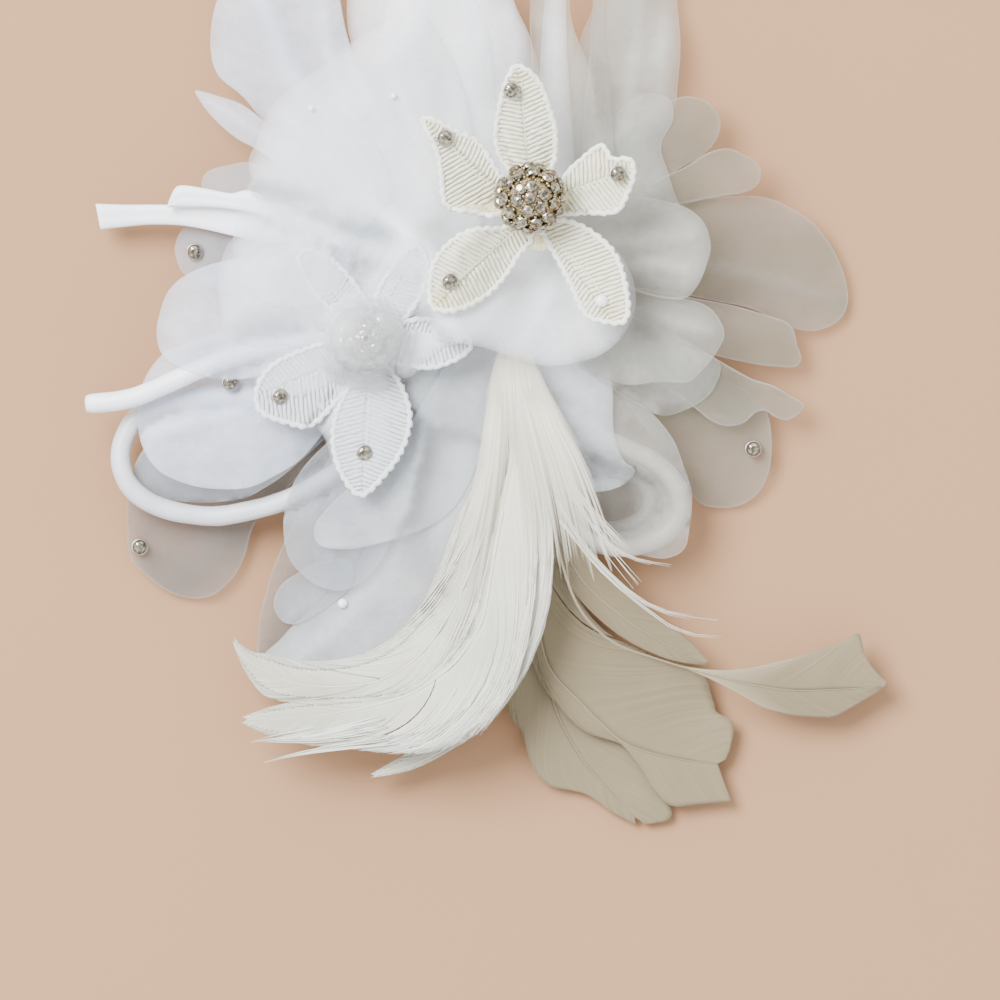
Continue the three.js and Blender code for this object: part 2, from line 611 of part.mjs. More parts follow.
// Hair clip
const jaw_top = clip_metal;
const plate_low = jaw_top + clip_mouth;
const plate_high = plate_low + clip_metal;
const clip_nose = clip_length - clip_tail;
const pin_height = jaw_top + clip_mouth / 2;
const pin_x = -hinge_setback;
const pin_sides = 16;
const jaw_width = clip_width - 2 * (ear_metal + seat_gap);

function pin_hole() {
  const hole = cylinder_along_y(pin_radius + pin_clearance, clip_width + 2 * overrun, pin_sides);
  return to_solid(hole.translate(pin_x, 0, pin_height));
}

// Two ears, one at each side of the given width, joined to a solid and bored for the pin
function add_ears(solid, width, length, low, high) {
  let result = solid;
  for (const side of [-1, 1]) {
    const outer = (side * width) / 2;
    const inner = outer - side * ear_metal;
    const ear = box_between([pin_x - length / 2, Math.min(outer, inner), low],
      [pin_x + length / 2, Math.max(outer, inner), high]);
    result = result.add(to_solid(ear));
  }
  return result.subtract(pin_hole());
}

function clip_plate_geometry() {
  const plate = box_between([-clip_tail, -clip_width / 2, plate_low],
    [clip_nose, clip_width / 2, plate_high]);
  const ear_low = pin_height - ear_overhang;
  const inside = plate_low + clip_metal / 2;
  const panel_front = clip_nose - nose_length - grip_panel_inset;
  const panel = box_between(
    [panel_front - grip_panel_length, -grip_panel_width / 2, plate_low - grip_panel_depth],
    [panel_front, grip_panel_width / 2, inside]);
  const stamped = to_solid(plate).add(to_solid(panel));
  return to_geometry(add_ears(stamped, clip_width, ear_length, ear_low, inside));
}

function clip_jaw_geometry() {
  const nose_top = plate_low - seat_gap;
  const outline = new THREE.Shape([
    [-clip_tail, 0], [clip_nose - nose_length + clip_metal / 2, 0], [clip_nose, nose_top],
    [clip_nose - nose_land, nose_top], [clip_nose - nose_length, clip_metal], [-clip_tail, clip_metal],
  ].map(([x, z]) => new THREE.Vector2(x, z)));
  const strip = new THREE.ExtrudeGeometry(outline, { depth: jaw_width, bevelEnabled: false });
  strip.rotateX(Math.PI / 2).translate(0, jaw_width / 2, 0);
  const ear_high = pin_height + jaw_ear_overhang;
  let jaw = add_ears(to_solid(strip), jaw_width, jaw_ear_length, clip_metal / 2, ear_high);
  for (const place of [-1, 0, 1]) {
    const middle = place * 2 * tooth_width;
    const notch = box_between(
      [clip_nose - nose_length, middle - tooth_width / 2, nose_top - tooth_depth],
      [clip_nose + overrun, middle + tooth_width / 2, nose_top + overrun]);
    jaw = jaw.subtract(to_solid(notch));
  }
  return to_geometry(jaw);
}

function hinge_pin_geometry() {
  const half = clip_width / 2 + seat_gap;
  const end = half + pin_head_length;
  const profile = [
    [0, -end], [pin_head_radius, -end], [pin_head_radius, -half], [pin_radius, -half],
    [pin_radius, half], [pin_head_radius, half], [pin_head_radius, end], [0, end],
  ].map(([radius, y]) => new THREE.Vector2(radius, y));
  return new THREE.LatheGeometry(profile, pin_sides).translate(pin_x, 0, pin_height);
}

// The spring's wire: curls round the pin, one leg on the jaw and, half a curl on, one under the plate
const spring_radius = (clip_mouth - spring_wire) / 2 - seat_gap;

function spring_points() {
  const steps_per_curl = 8;
  const curls = spring_curls + 0.5;
  const steps = curls * steps_per_curl;
  const half_width = (curls * (spring_wire + spring_gap)) / 2;
  const leg_end = pin_x - spring_leg;
  const points = [new THREE.Vector3(leg_end, -half_width, pin_height - spring_radius)];
  for (let step = 0; step <= steps; step++) {
    const turn = (2 * Math.PI * step) / steps_per_curl;
    points.push(new THREE.Vector3(
      pin_x + spring_radius * Math.sin(turn),
      half_width * ((2 * step) / steps - 1),
      pin_height - spring_radius * Math.cos(turn),
    ));
  }
  points.push(new THREE.Vector3(leg_end, half_width, pin_height + spring_radius));
  return points;
}

const wire_sides = 5;

function spring_geometry(points) {
  const positions = [];
  const index = [];
  const last = points.length - 1;
  const sideways = new THREE.Vector3(0, 1, 0);
  points.forEach((point, at) => {
    const ahead = points[Math.min(at + 1, last)].clone().sub(points[Math.max(at - 1, 0)]).normalize();
    const up = new THREE.Vector3().crossVectors(ahead, sideways).normalize();
    const side = new THREE.Vector3().crossVectors(up, ahead);
    for (let corner = 0; corner < wire_sides; corner++) {
      const turn = (2 * Math.PI * corner) / wire_sides;
      const place = point.clone().addScaledVector(up, (Math.cos(turn) * spring_wire) / 2)
        .addScaledVector(side, (Math.sin(turn) * spring_wire) / 2);
      positions.push(...place.toArray());
    }
  });
  for (let at = 0; at < last; at++) {
    for (let corner = 0; corner < wire_sides; corner++) {
      const next = (corner + 1) % wire_sides;
      const [a, b] = [at * wire_sides + corner, at * wire_sides + next];
      index.push(a, b + wire_sides, b, a, a + wire_sides, b + wire_sides);
    }
  }
  for (let corner = 1; corner < wire_sides - 1; corner++) {
    const end = last * wire_sides;
    index.push(0, corner, corner + 1, end, end + corner + 1, end + corner);
  }
  const geometry = new THREE.BufferGeometry();
  geometry.setAttribute('position', new THREE.Float32BufferAttribute(positions, 3));
  geometry.setIndex(index);
  geometry.computeVertexNormals();
  return geometry;
}

// The spring's least gap to itself, measured between points more than half a curl apart
function least_spring_gap(points) {
  const far = 5;
  let least = Infinity;
  points.forEach((point, at) => {
    for (let other = at + far; other < points.length; other++) {
      least = Math.min(least, point.distanceTo(points[other]) - spring_wire);
    }
  });
  return least;
}

// Base: felt over the clip's plate, buckram over the felt
const disc_sides = 40;

function disc_geometry(radius, thickness, edge_round, low) {
  const profile = [
    [0, 0], [radius, 0], [radius, thickness - edge_round], [radius - edge_round, thickness],
    [0, thickness],
  ].map(([r, z]) => new THREE.Vector2(r, z));
  return new THREE.LatheGeometry(profile, disc_sides).rotateX(Math.PI / 2).translate(0, 0, low);
}

// The fascinator, from the clip upwards
place_mesh('clip_plate', clip_plate_geometry(), steel);
place_mesh('clip_jaw', clip_jaw_geometry(), steel);
place_mesh('clip_pin', hinge_pin_geometry(), steel);
const wire_points = spring_points();
place_mesh('clip_spring', spring_geometry(wire_points), steel);
console.log(`spring gap to itself: ${least_spring_gap(wire_points).toFixed(2)} mm`);

const felt_low = plate_high + seat_gap;
const base_low = felt_low + felt_thickness + seat_gap;
lay_mesh('felt_backing', disc_geometry(felt_radius, felt_thickness, base_edge_round, felt_low), felt);
lay_mesh('buckram_base', disc_geometry(base_radius, base_thickness, base_edge_round, base_low), buckram);

for (const petal of ground_petal_shares) lay_sheet(petal, organza, organza_thickness);
for (const strip of satin_strip_shares) lay_sheet(strip, satin, satin_thickness, strip_rows, strip_columns);
lay_tubing('satin_loop_left', left_loop_route);
for (const petal of covering_petal_shares) lay_sheet(petal, organza, organza_thickness);
lay_tubing('satin_tail_lower', tail_route);
lay_tubing('satin_loops_right', right_loops_route);
for (const petal of middle_petal_shares) lay_sheet(petal, organza, organza_thickness);
lay_blossom(veiled_blossom_shares);
for (const feather of feather_shares) {
  lay_sheet(feather, feather.kind, feather_thickness, feather_rows, feather_columns);
}
for (const petal of crown_petal_shares) lay_sheet(petal, organza, organza_thickness);
lay_blossom(front_blossom_shares);

export default group;
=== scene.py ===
# Flower fascinator: sheer organza petals, two corded lace blossoms with crystal buttons, satin tubing
# and strips, and goose feathers, sewn to a felt-backed base with a sprung hair clip. It lies on a table.
import json
import math
import random

import bpy
import numpy as np
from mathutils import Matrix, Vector, geometry, noise
from mathutils.bvhtree import BVHTree


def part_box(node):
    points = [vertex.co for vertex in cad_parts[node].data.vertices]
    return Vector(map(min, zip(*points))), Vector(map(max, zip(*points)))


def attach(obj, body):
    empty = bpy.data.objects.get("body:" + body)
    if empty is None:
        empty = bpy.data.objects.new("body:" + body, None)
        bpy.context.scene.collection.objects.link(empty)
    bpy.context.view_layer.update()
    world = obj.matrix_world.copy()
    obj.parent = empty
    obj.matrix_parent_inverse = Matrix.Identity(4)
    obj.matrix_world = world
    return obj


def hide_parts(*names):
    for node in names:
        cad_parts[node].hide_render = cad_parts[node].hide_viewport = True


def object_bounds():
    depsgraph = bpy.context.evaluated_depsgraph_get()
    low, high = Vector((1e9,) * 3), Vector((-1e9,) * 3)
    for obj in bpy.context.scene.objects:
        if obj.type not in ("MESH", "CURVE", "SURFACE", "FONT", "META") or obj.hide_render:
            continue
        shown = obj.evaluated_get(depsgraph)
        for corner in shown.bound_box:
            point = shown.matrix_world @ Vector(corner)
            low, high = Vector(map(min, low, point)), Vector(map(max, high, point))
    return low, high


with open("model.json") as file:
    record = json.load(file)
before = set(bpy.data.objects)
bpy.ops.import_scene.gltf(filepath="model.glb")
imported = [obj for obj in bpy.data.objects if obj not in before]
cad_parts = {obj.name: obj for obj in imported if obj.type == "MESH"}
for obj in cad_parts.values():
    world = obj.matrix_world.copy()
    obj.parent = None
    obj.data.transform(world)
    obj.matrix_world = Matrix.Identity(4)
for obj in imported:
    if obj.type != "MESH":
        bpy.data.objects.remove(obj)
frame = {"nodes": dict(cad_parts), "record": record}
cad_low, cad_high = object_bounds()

MM = 0.001
rng = random.Random(11)
noise.seed_set(1795886151)      # the rims' sway, the same on every run; the rims' sway that the exported piece was checked with

# A pixel of the photograph measures 0.2 mm on the object, and the base's middle is at this pixel
PIXEL = 0.2 * MM
BASE_PIXEL = (450, 280)


def plan(pixels):
    """Places on the table, in metres, of a list of pixels."""
    return np.array([((x - BASE_PIXEL[0]) * PIXEL, (BASE_PIXEL[1] - y) * PIXEL) for x, y in pixels])


# Camera: straight over the picture's middle, far enough away to see the layers without slant

CAMERA_HEIGHT = 5.0
PICTURE_WIDTH = 0.2
PICTURE_MIDDLE = (0.010, -0.044)
FILM_WIDTH = 36


def set_camera():
    lens = bpy.data.cameras.new("camera")
    lens.sensor_width = FILM_WIDTH
    lens.lens = FILM_WIDTH * CAMERA_HEIGHT / PICTURE_WIDTH
    lens.clip_end = 4 * CAMERA_HEIGHT
    camera = bpy.data.objects.new("camera", lens)
    camera.location = (*PICTURE_MIDDLE, CAMERA_HEIGHT)
    bpy.context.scene.collection.objects.link(camera)
    bpy.context.scene.camera = camera


set_camera()


# Curves and swept shapes

CURVE_STEPS = 24      # points between two given ones, before they are spaced evenly


def noise_at(places):
    """A smooth chance value from -1 to 1 for each place."""
    return np.array([noise.noise(Vector(place)) for place in places])


def steps_of(path):
    return np.linalg.norm(np.diff(path, axis=0), axis=1)


def length_of(path):
    return float(np.sum(steps_of(path)))


def spaced(path, distances_of):
    """Points of a path at the distances along it that a rule gives from its length."""
    walked = np.concatenate([[0], np.cumsum(steps_of(path))])
    wanted = distances_of(walked[-1])
    return np.column_stack([np.interp(wanted, walked, path[:, axis]) for axis in range(path.shape[1])])


def smooth_curve(points, step, closed=False):
    """A dense curve through given points, with its samples a step apart."""
    points = np.asarray(points, float)
    count = len(points)
    t = np.linspace(0, 1, CURVE_STEPS, endpoint=False)[:, None]
    dense = []
    for span in range(count if closed else count - 1):
        nearby = [span + k for k in (-1, 0, 1, 2)]
        picked = [at % count if closed else min(max(at, 0), count - 1) for at in nearby]
        a, b, c, d = (points[at] for at in picked)
        dense.append(0.5 * (2 * b + (c - a) * t + (2 * a - 5 * b + 4 * c - d) * t ** 2
                            + (3 * b - a - 3 * c + d) * t ** 3))
    dense.append(points[:1] if closed else points[-1:])

    def evenly(length):
        return np.linspace(0, length, max(3, int(round(length / step)) + 1))

    curve = spaced(np.vstack(dense), evenly)
    return curve[:-1] if closed else curve


def along_curve(curve, shares):
    """Points of an open curve at shares of its length."""
    return spaced(curve, lambda length: np.clip(shares, 0, 1) * length)


def headings(path, closed=False):
    if closed:
        ahead = np.roll(path, -1, axis=0) - np.roll(path, 1, axis=0)
    else:
        ahead = np.gradient(path, axis=0)
    return ahead / np.maximum(np.linalg.norm(ahead, axis=1), 1e-12)[:, None]


def tube_faces(rings, sides, closed=False):
    """Faces round a tube of rings, with a cap at both ends unless it closes on itself."""
    faces = []
    for ring in range(rings if closed else rings - 1):
        after = (ring + 1) % rings
        for corner in range(sides):
            nearby = (corner + 1) % sides
            faces.append((ring * sides + corner, after * sides + corner,
                          after * sides + nearby, ring * sides + nearby))
    if not closed:
        faces.append(tuple(range(sides)))
        faces.append(tuple((rings - 1) * sides + corner for corner in reversed(range(sides))))
    return faces


def put_values(mesh, label, values):
    layer = mesh.attributes.new(label, "FLOAT", "POINT")
    layer.data.foreach_set("value", np.asarray(values, np.float32))


def new_piece(name, points, faces, material, values, smooth=True):
    """A piece made of points and faces, with named values at its points."""
    mesh = bpy.data.meshes.new(name)
    mesh.from_pydata(points.tolist(), [], faces)
    for label, value in values.items():
        put_values(mesh, label, value)
    mesh.polygons.foreach_set("use_smooth", [smooth] * len(mesh.polygons))
    mesh.materials.append(material)
    mesh.update()
    made = bpy.data.objects.new(name, mesh)
    bpy.context.scene.collection.objects.link(made)
    return made


def take_up(piece):
    """Makes a piece the only one selected, and the one in hand."""
    bpy.ops.object.select_all(action="DESELECT")
    piece.select_set(True)
    bpy.context.view_layer.objects.active = piece


class Shape:
    """Points, faces and a value at each point, gathered from many strands into one mesh."""

    def __init__(self):
        self.points, self.faces, self.values, self.count = [], [], [], 0

    def add(self, points, faces, value=0.0):
        self.points.append(np.asarray(points, float))
        self.values.append(np.broadcast_to(np.asarray(value, float), (len(points),)))
        self.faces += [tuple(corner + self.count for corner in face) for face in faces]
        self.count += len(points)

    def strand(self, path, radius, sides=6, closed=False, flat=1.0, value=0.0):
        """A closed strand round a path. Its radius may change along it, and flat squeezes its height."""
        path = np.asarray(path, float)
        count = len(path)
        ahead = headings(path, closed)
        side = np.cross(ahead, np.tile([0.0, 0.0, 1.0], (count, 1)))
        side /= np.maximum(np.linalg.norm(side, axis=1), 1e-9)[:, None]
        rise = np.cross(side, ahead)
        radius = np.broadcast_to(np.asarray(radius, float), (count,))[:, None]
        rings = []
        for corner in range(sides):
            turn = 2 * math.pi * corner / sides
            rings.append(path + radius * (math.cos(turn) * side + flat * math.sin(turn) * rise))
        points = np.stack(rings, axis=1).reshape(-1, 3)
        spread = value if np.isscalar(value) else np.repeat(np.asarray(value, float), sides)
        self.add(points, tube_faces(count, sides, closed), spread)

    def piece(self, name, material, attribute=None, smooth=True):
        """The gathered strands as one piece, with the values at its points under an attribute's name."""
        values = {attribute: np.concatenate(self.values)} if attribute else {}
        return new_piece(name, np.vstack(self.points), self.faces, material, values, smooth)


def belongs(piece, slot, *nodes, body="flower"):
    """The piece rides on its body and stands for the CAD nodes given. The slot is not used."""
    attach(piece, body)
    if nodes:
        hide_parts(*nodes)
    return piece


# Shaders

class Value:
    """A shader socket that can be added, multiplied and compared."""

    def __init__(self, nodes, socket):
        self.nodes, self.socket = nodes, socket

    def sum_of(self, operation, *inputs, clamp=False):
        settings = {"operation": operation, "use_clamp": clamp}
        return self.nodes.node("ShaderNodeMath", settings, dict(enumerate(inputs)))

    def __add__(self, other):
        return self.sum_of("ADD", self, other)

    __radd__ = __add__

    def __sub__(self, other):
        return self.sum_of("SUBTRACT", self, other)

    def __rsub__(self, other):
        return self.sum_of("SUBTRACT", other, self)

    def __mul__(self, other):
        return self.sum_of("MULTIPLY", self, other)

    __rmul__ = __mul__

    def sine(self):
        return self.sum_of("SINE", self)

    def at_least(self, other):
        """The larger of the two values, kept between 0 and 1."""
        return self.sum_of("MAXIMUM", self, other, clamp=True)

    def held(self, low, high):
        """The value moved from low..high to 0..1 and kept between them."""
        return self.nodes.node("ShaderNodeMapRange", {"clamp": True},
                               {"Value": self, "From Min": low, "From Max": high})


class Nodes:
    """The nodes of a material or of the room, each made with its settings and linked by value."""

    def __init__(self, owner):
        owner.use_nodes = True
        self.tree = owner.node_tree

    def feed(self, socket, value):
        if isinstance(value, Value):
            self.tree.links.new(value.socket, socket)
        elif hasattr(socket.default_value, "__len__") and len(socket.default_value) == 4:
            socket.default_value = (*value, 1) if len(value) == 3 else value
        else:
            socket.default_value = value

    def node(self, kind, settings=None, inputs=None, output=0):
        """Any node: its settings first, then the values or links of its sockets."""
        made = self.tree.nodes.new(kind)
        for name, value in (settings or {}).items():
            if name == "stops":
                for element, (place, colour) in zip(made.color_ramp.elements, value):
                    element.position = place
                    element.color = (*colour, 1)
            else:
                setattr(made, name, value)
        for name, value in (inputs or {}).items():
            self.feed(made.inputs[name], value)
        return Value(self, made.outputs[output])

    def places(self):
        return self.node("ShaderNodeTexCoord", output="Object")

    def cloudy(self, scale, detail=2.0, roughness=0.5, places=None):
        return self.node("ShaderNodeTexNoise", None, {
            "Vector": places or self.places(), "Scale": scale, "Detail": detail, "Roughness": roughness})

    def attribute(self, name):
        return self.node("ShaderNodeAttribute", {"attribute_name": name}, output="Fac")

    def axis(self, places, which):
        return self.node("ShaderNodeSeparateXYZ", None, {"Vector": places}, output=which)

    def blend(self, share, first, second):
        """A colour between two, by share."""
        return self.node("ShaderNodeMix", {"data_type": "RGBA"}, {0: share, 6: first, 7: second}, output=2)


class Finish(Nodes):
    """A procedural material: one Principled surface and the nodes that feed it."""

    def __init__(self, name, **settings):
        self.material = bpy.data.materials.new(name)
        super().__init__(self.material)
        self.surface = self.tree.nodes["Principled BSDF"]
        self.set(**settings)

    def bump(self, height, strength, distance):
        self.feed(self.surface.inputs["Normal"], self.node("ShaderNodeBump", None, {
            "Height": height, "Strength": strength, "Distance": distance}))

    def set(self, **sockets):
        for socket, value in sockets.items():
            self.feed(self.surface.inputs[socket.replace("_", " ")], value)
        return self.material


LACE_PITCH = 0.9                 # millimetres between the lace's cross threads
LACE_GRIP = 1.1                  # millimetres between the places where the net holds them
THREAD = 2 * math.pi / 0.42      # organza has a thread every 0.42 mm; its UV map is in millimetres
BUCKRAM_PITCH = 0.9 * MM


def organza(name, cool, warm, cover, rim_cover, soft=0.0, dense=0.35):
    """Sheer cloth: a fine open weave, cloudy where it is doubled, with a bright sealed rim. Soft is how
    far its cover fades towards the rim, and dense is what its steep folds add to the cover."""
    made = Finish(name, Sheen_Weight=0.2, Sheen_Roughness=0.5, Specular_IOR_Level=0.2)
    cloth = made.node("ShaderNodeUVMap", {"uv_map": "cloth"})
    warp = (made.axis(cloth, "X") * THREAD).sine()
    weft = (made.axis(cloth, "Y") * THREAD).sine()
    slub = made.cloudy(520, 3, 0.6)
    drift = made.cloudy(70, 2, 0.5)
    rim = made.attribute("rim").held(0.4, 0.95)
    fade = 1 - made.attribute("edge") * soft
    uneven = 0.06 * (warp * weft) + 0.25 * (slub - 0.5) + 0.45 * (drift - 0.5)
    open_cover = (cover + uneven + made.attribute("gather") * dense) * fade
    made.bump(warp + weft + 2.5 * slub, 0.3, 0.00008)
    tint = made.blend(drift.held(0.35, 0.7), cool, warm)
    bright = [0.62 * part + 0.3 for part in cool]
    return made.set(Base_Color=made.blend(rim * 0.7, tint, bright),
                    Alpha=open_cover.at_least(rim * rim_cover), Roughness=0.45 + 0.25 * slub)


def satin(name, shade, light):
    """Bias-cut satin: smooth, with a soft gloss and faint lengthwise pulls."""
    made = Finish(name, Sheen_Weight=0.3, Sheen_Roughness=0.3, Specular_IOR_Level=0.55)
    pulls = made.cloudy(240, 3, 0.55)
    fine = made.cloudy(1800, 2, 0.5)
    made.bump(pulls + 0.3 * fine, 0.28, 0.0003)
    return made.set(Base_Color=made.blend(pulls.held(0.3, 0.75), shade, light),
                    Roughness=0.32 + 0.2 * fine)


def lace(name, thread, stain, stain_from):
    """Cotton lace thread, creamy, with darker yellow stains where the value of the thread is high."""
    made = Finish(name, Roughness=0.85, Sheen_Weight=0.35, Sheen_Roughness=0.5, Specular_IOR_Level=0.2)
    fibres = made.cloudy(2200, 4, 0.75)
    patch = made.cloudy(160, 2, 0.5)
    stained = (made.attribute("stain") * 0.8 + 0.5 * (patch - 0.5)).held(stain_from, 1.0)
    made.bump(fibres, 0.9, 0.0003)
    tint = made.blend(fibres.held(0.3, 0.7), [0.9 * part for part in thread], thread)
    return made.set(Base_Color=made.blend(stained, tint, stain))


def lace_net(name, thread, stain):
    """The net between the threads, with a hole in each of its meshes."""
    made = Finish(name, Roughness=0.9, Sheen_Weight=0.3, Specular_IOR_Level=0.15)
    cloth = made.node("ShaderNodeUVMap", {"uv_map": "cloth"})
    rows = (made.axis(cloth, "X") * (2 * math.pi / LACE_PITCH)).sine()
    columns = (made.axis(cloth, "Y") * (math.pi / LACE_GRIP)).sine()
    solid = 1 - (rows * columns * columns).held(0.55, 0.75)
    made.bump(made.cloudy(2600, 3, 0.7), 0.4, 0.00015)
    return made.set(Base_Color=made.blend(made.cloudy(260).held(0.35, 0.65), thread, stain), Alpha=solid)


def feather(name, root, vane, shade):
    """Goose barbs: silky, each barb a little lighter or darker, beige at the root."""
    made = Finish(name, Roughness=0.6, Sheen_Weight=0.4, Sheen_Roughness=0.35, Specular_IOR_Level=0.35)
    barb_tone = made.attribute("barb")
    patch = made.cloudy(90, 2, 0.5)
    made.bump(made.cloudy(1500, 2, 0.6), 0.25, 0.0001)
    light = made.blend((barb_tone * 0.8 + 0.4 * (patch - 0.5)).held(0.1, 0.7), shade, vane)
    sheer = made.attribute("sheer") * (1.3 - barb_tone * 0.6)
    return made.set(Base_Color=made.blend(made.attribute("down"), light, root),
                    Alpha=1 - sheer.held(0.0, 1.0))


def felt():
    made = Finish("felt", Roughness=0.95, Sheen_Weight=0.5, Sheen_Roughness=0.6, Specular_IOR_Level=0.1)
    fibres = made.cloudy(1400, 5, 0.75)
    clumps = made.cloudy(260, 3, 0.6)
    made.bump(fibres + clumps, 0.8, 0.0004)
    return made.set(Base_Color=made.blend(fibres.held(0.3, 0.7), (0.74, 0.73, 0.69), (0.86, 0.85, 0.81)))


def buckram():
    """Stiff open weave, sized with starch."""
    made = Finish("buckram", Roughness=0.9, Specular_IOR_Level=0.2)
    places = made.places()
    turn = 2 * math.pi / BUCKRAM_PITCH
    weave = (made.axis(places, "X") * turn).sine() * (made.axis(places, "Y") * turn).sine()
    starch = made.cloudy(180, 3, 0.6)
    made.bump(weave + starch, 0.7, 0.0003)
    shade = (weave * 0.5 + 0.5) * starch
    return made.set(Base_Color=made.blend(shade, (0.72, 0.7, 0.64), (0.86, 0.84, 0.78)))


def crystal():
    """Cut glass with foil behind it, in darker and lighter patches of painted reflection."""
    made = Finish("crystal", Metallic=0.9, Coat_Weight=0.5, Coat_Roughness=0.03)
    # The patches are painted reflection, standing in for the light that the facets send back.
    depth = made.cloudy(1500, 2, 0.6)
    return made.set(Base_Color=made.blend(depth.held(0.4, 0.6), (0.1, 0.085, 0.06), (0.42, 0.38, 0.29)),
                    Roughness=0.04 + 0.12 * depth)


def metal(name, worn, bright, roughness, scratches):
    made = Finish(name, Metallic=1.0)
    fine = made.cloudy(scratches, 3, 0.6)
    made.bump(fine, 0.15, 0.00005)
    return made.set(Base_Color=made.blend(fine.held(0.35, 0.7), worn, bright),
                    Roughness=roughness + 0.2 * fine)


def pearl():
    made = Finish("pearl", Roughness=0.25, Coat_Roughness=0.1)
    lustre = made.node("ShaderNodeLayerWeight", None, {"Blend": 0.4}, output="Facing")
    return made.set(Base_Color=made.blend(made.cloudy(600), (0.85, 0.84, 0.83), (0.93, 0.91, 0.92)),
                    Coat_Weight=0.4 + 0.5 * lustre)


# One white organza in lit and shaded copies, with light and shade painted into their colours. Outer, warm,
# haze, soft and gauze are painted shade: greyer, beige and darker on the low and right petals, away from the
# lamp. White is painted cool light: bluer on the left petals, where the lamp falls. Pale, milk and mist are
# greyer copies; crown and veil are the brightest.
ORGANZA_LIT_AND_SHADED = {
    "outer": organza("organza_painted_shade_low_left", (0.23, 0.225, 0.22), (0.17, 0.165, 0.145), 0.34, 0.42),
    "warm": organza("organza_painted_shade_right", (0.3, 0.27, 0.22), (0.21, 0.195, 0.13), 0.38, 0.42),
    "pale": organza("organza_pale", (0.42, 0.46, 0.52), (0.46, 0.48, 0.5), 0.34, 0.42, 0.3),
    "haze": organza("organza_painted_shade_inner_right", (0.44, 0.445, 0.41), (0.5, 0.49, 0.44), 0.32, 0.3, 0.6),
    "soft": organza("organza_painted_shade_upper_right", (0.5, 0.515, 0.48), (0.56, 0.56, 0.5), 0.36, 0.25, 0.75),
    "milk": organza("organza_milk", (0.68, 0.73, 0.78), (0.74, 0.77, 0.79), 0.4, 0.3, 0.6),
    "white": organza("organza_painted_cool_light_left", (0.7, 0.76, 0.9), (0.78, 0.82, 0.9), 0.36, 0.4, 0.3),
    "crown": organza("organza_crown", (0.9, 0.94, 0.99), (0.95, 0.96, 0.98), 0.46, 0.2, 0.85),
    "veil": organza("organza_veil", (0.88, 0.93, 0.99), (0.92, 0.95, 0.97), 0.32, 0.2, 0.85, 0.1),
    "mist": organza("organza_mist", (0.72, 0.76, 0.78), (0.78, 0.8, 0.8), 0.62, 0.0, 1.0, 0.0),
    "gauze": organza("organza_painted_shade_right_veil", (0.42, 0.42, 0.39), (0.45, 0.44, 0.39), 0.3, 0.35, 0.3),
}
SATIN = satin("satin", (0.84, 0.87, 0.93), (0.92, 0.93, 0.95))
# The loops' satin is darkened: painted shade, on the loops that lie under the sheer petals.
SHADED_SATIN_LEFT = satin("satin_painted_shade_left", (0.56, 0.57, 0.6), (0.64, 0.65, 0.67))
SHADED_SATIN_RIGHT = satin("satin_painted_shade_right", (0.54, 0.52, 0.46), (0.62, 0.6, 0.54))
LACE = lace("lace", (0.88, 0.87, 0.71), (0.6, 0.52, 0.22), 0.14)
LACE_CORD = lace("lace_cord", (0.94, 0.94, 0.85), (0.72, 0.67, 0.4), 0.3)
LACE_NET = lace_net("lace_net", (0.8, 0.77, 0.56), (0.6, 0.53, 0.24))
VEILED_LACE = lace("lace_veiled", (0.72, 0.75, 0.77), (0.7, 0.7, 0.66), 0.5)
VEILED_CORD = lace("lace_veiled_cord", (0.84, 0.87, 0.88), (0.78, 0.78, 0.74), 0.5)
VEILED_NET = lace_net("lace_veiled_net", (0.7, 0.73, 0.74), (0.68, 0.68, 0.64))
WHITE_FEATHER = feather("white_feather", (0.72, 0.68, 0.53), (0.74, 0.74, 0.68), (0.44, 0.43, 0.34))
# Ivory barbs in much darkened colours: painted shade on the feathers that lie low on the right, away from the
# lamp.
SHADED_IVORY_FEATHER = feather("ivory_feather", (0.4, 0.35, 0.24), (0.23, 0.185, 0.11), (0.17, 0.135, 0.075))
FELT = felt()
BUCKRAM = buckram()
CRYSTAL = crystal()
# Champagne metal, both colours darkened: painted shade in the gaps between the button's stones.
SHADED_SETTING = metal("setting", (0.24, 0.18, 0.09), (0.58, 0.49, 0.3), 0.24, 900)
STONE_RIM = metal("stone_rim", (0.3, 0.3, 0.29), (0.55, 0.55, 0.54), 0.25, 900)
STEEL = metal("steel", (0.45, 0.46, 0.47), (0.68, 0.69, 0.7), 0.22, 300)
PEARL = pearl()


# Satin tubing: the routes of the part's own source, in metres

TUBING = 4 * MM
TAIL_ROUTE = [
    (-4, -10, 16.2), (-10, -11.2, 16.4), (-16, -12, 16.6), (-22, -12.6, 16.9), (-28, -13.2, 17.1),
    (-34, -13.8, 17), (-39, -14.4, 16.9), (-43, -15.4, 16.8), (-47, -16.8, 16.7), (-51, -18.4, 16.5),
    (-55, -20.2, 16.2), (-59, -22, 15.7), (-62.6, -23.4, 15.2), (-66, -24.2, 14.5),
    (-69.4, -24.6, 13.7), (-72.4, -24.8, 13),
]
LEFT_LOOP_ROUTE = [
    (-10, -18.4, 14.2), (-18, -20.8, 14.2), (-26, -22.4, 14.4), (-33, -23.2, 14), (-40, -23.4, 12.6),
    (-47, -23.4, 11.6), (-53.6, -23.8, 10.8), (-58.6, -25, 9.8), (-62.6, -27.6, 8.7),
    (-65, -31.4, 8.4), (-65.8, -35.6, 8.5), (-64.8, -39.8, 8.8), (-62.2, -43, 8.6), (-58, -45.4, 8),
    (-52.4, -46.8, 7.8), (-46.4, -47.2, 8), (-40.4, -46.2, 8.6), (-35, -44.8, 9.4),
    (-30, -42.8, 10.8), (-25, -40, 12.6), (-20, -36.6, 13.6), (-15, -32.8, 13.8), (-10, -28.8, 13.8),
]
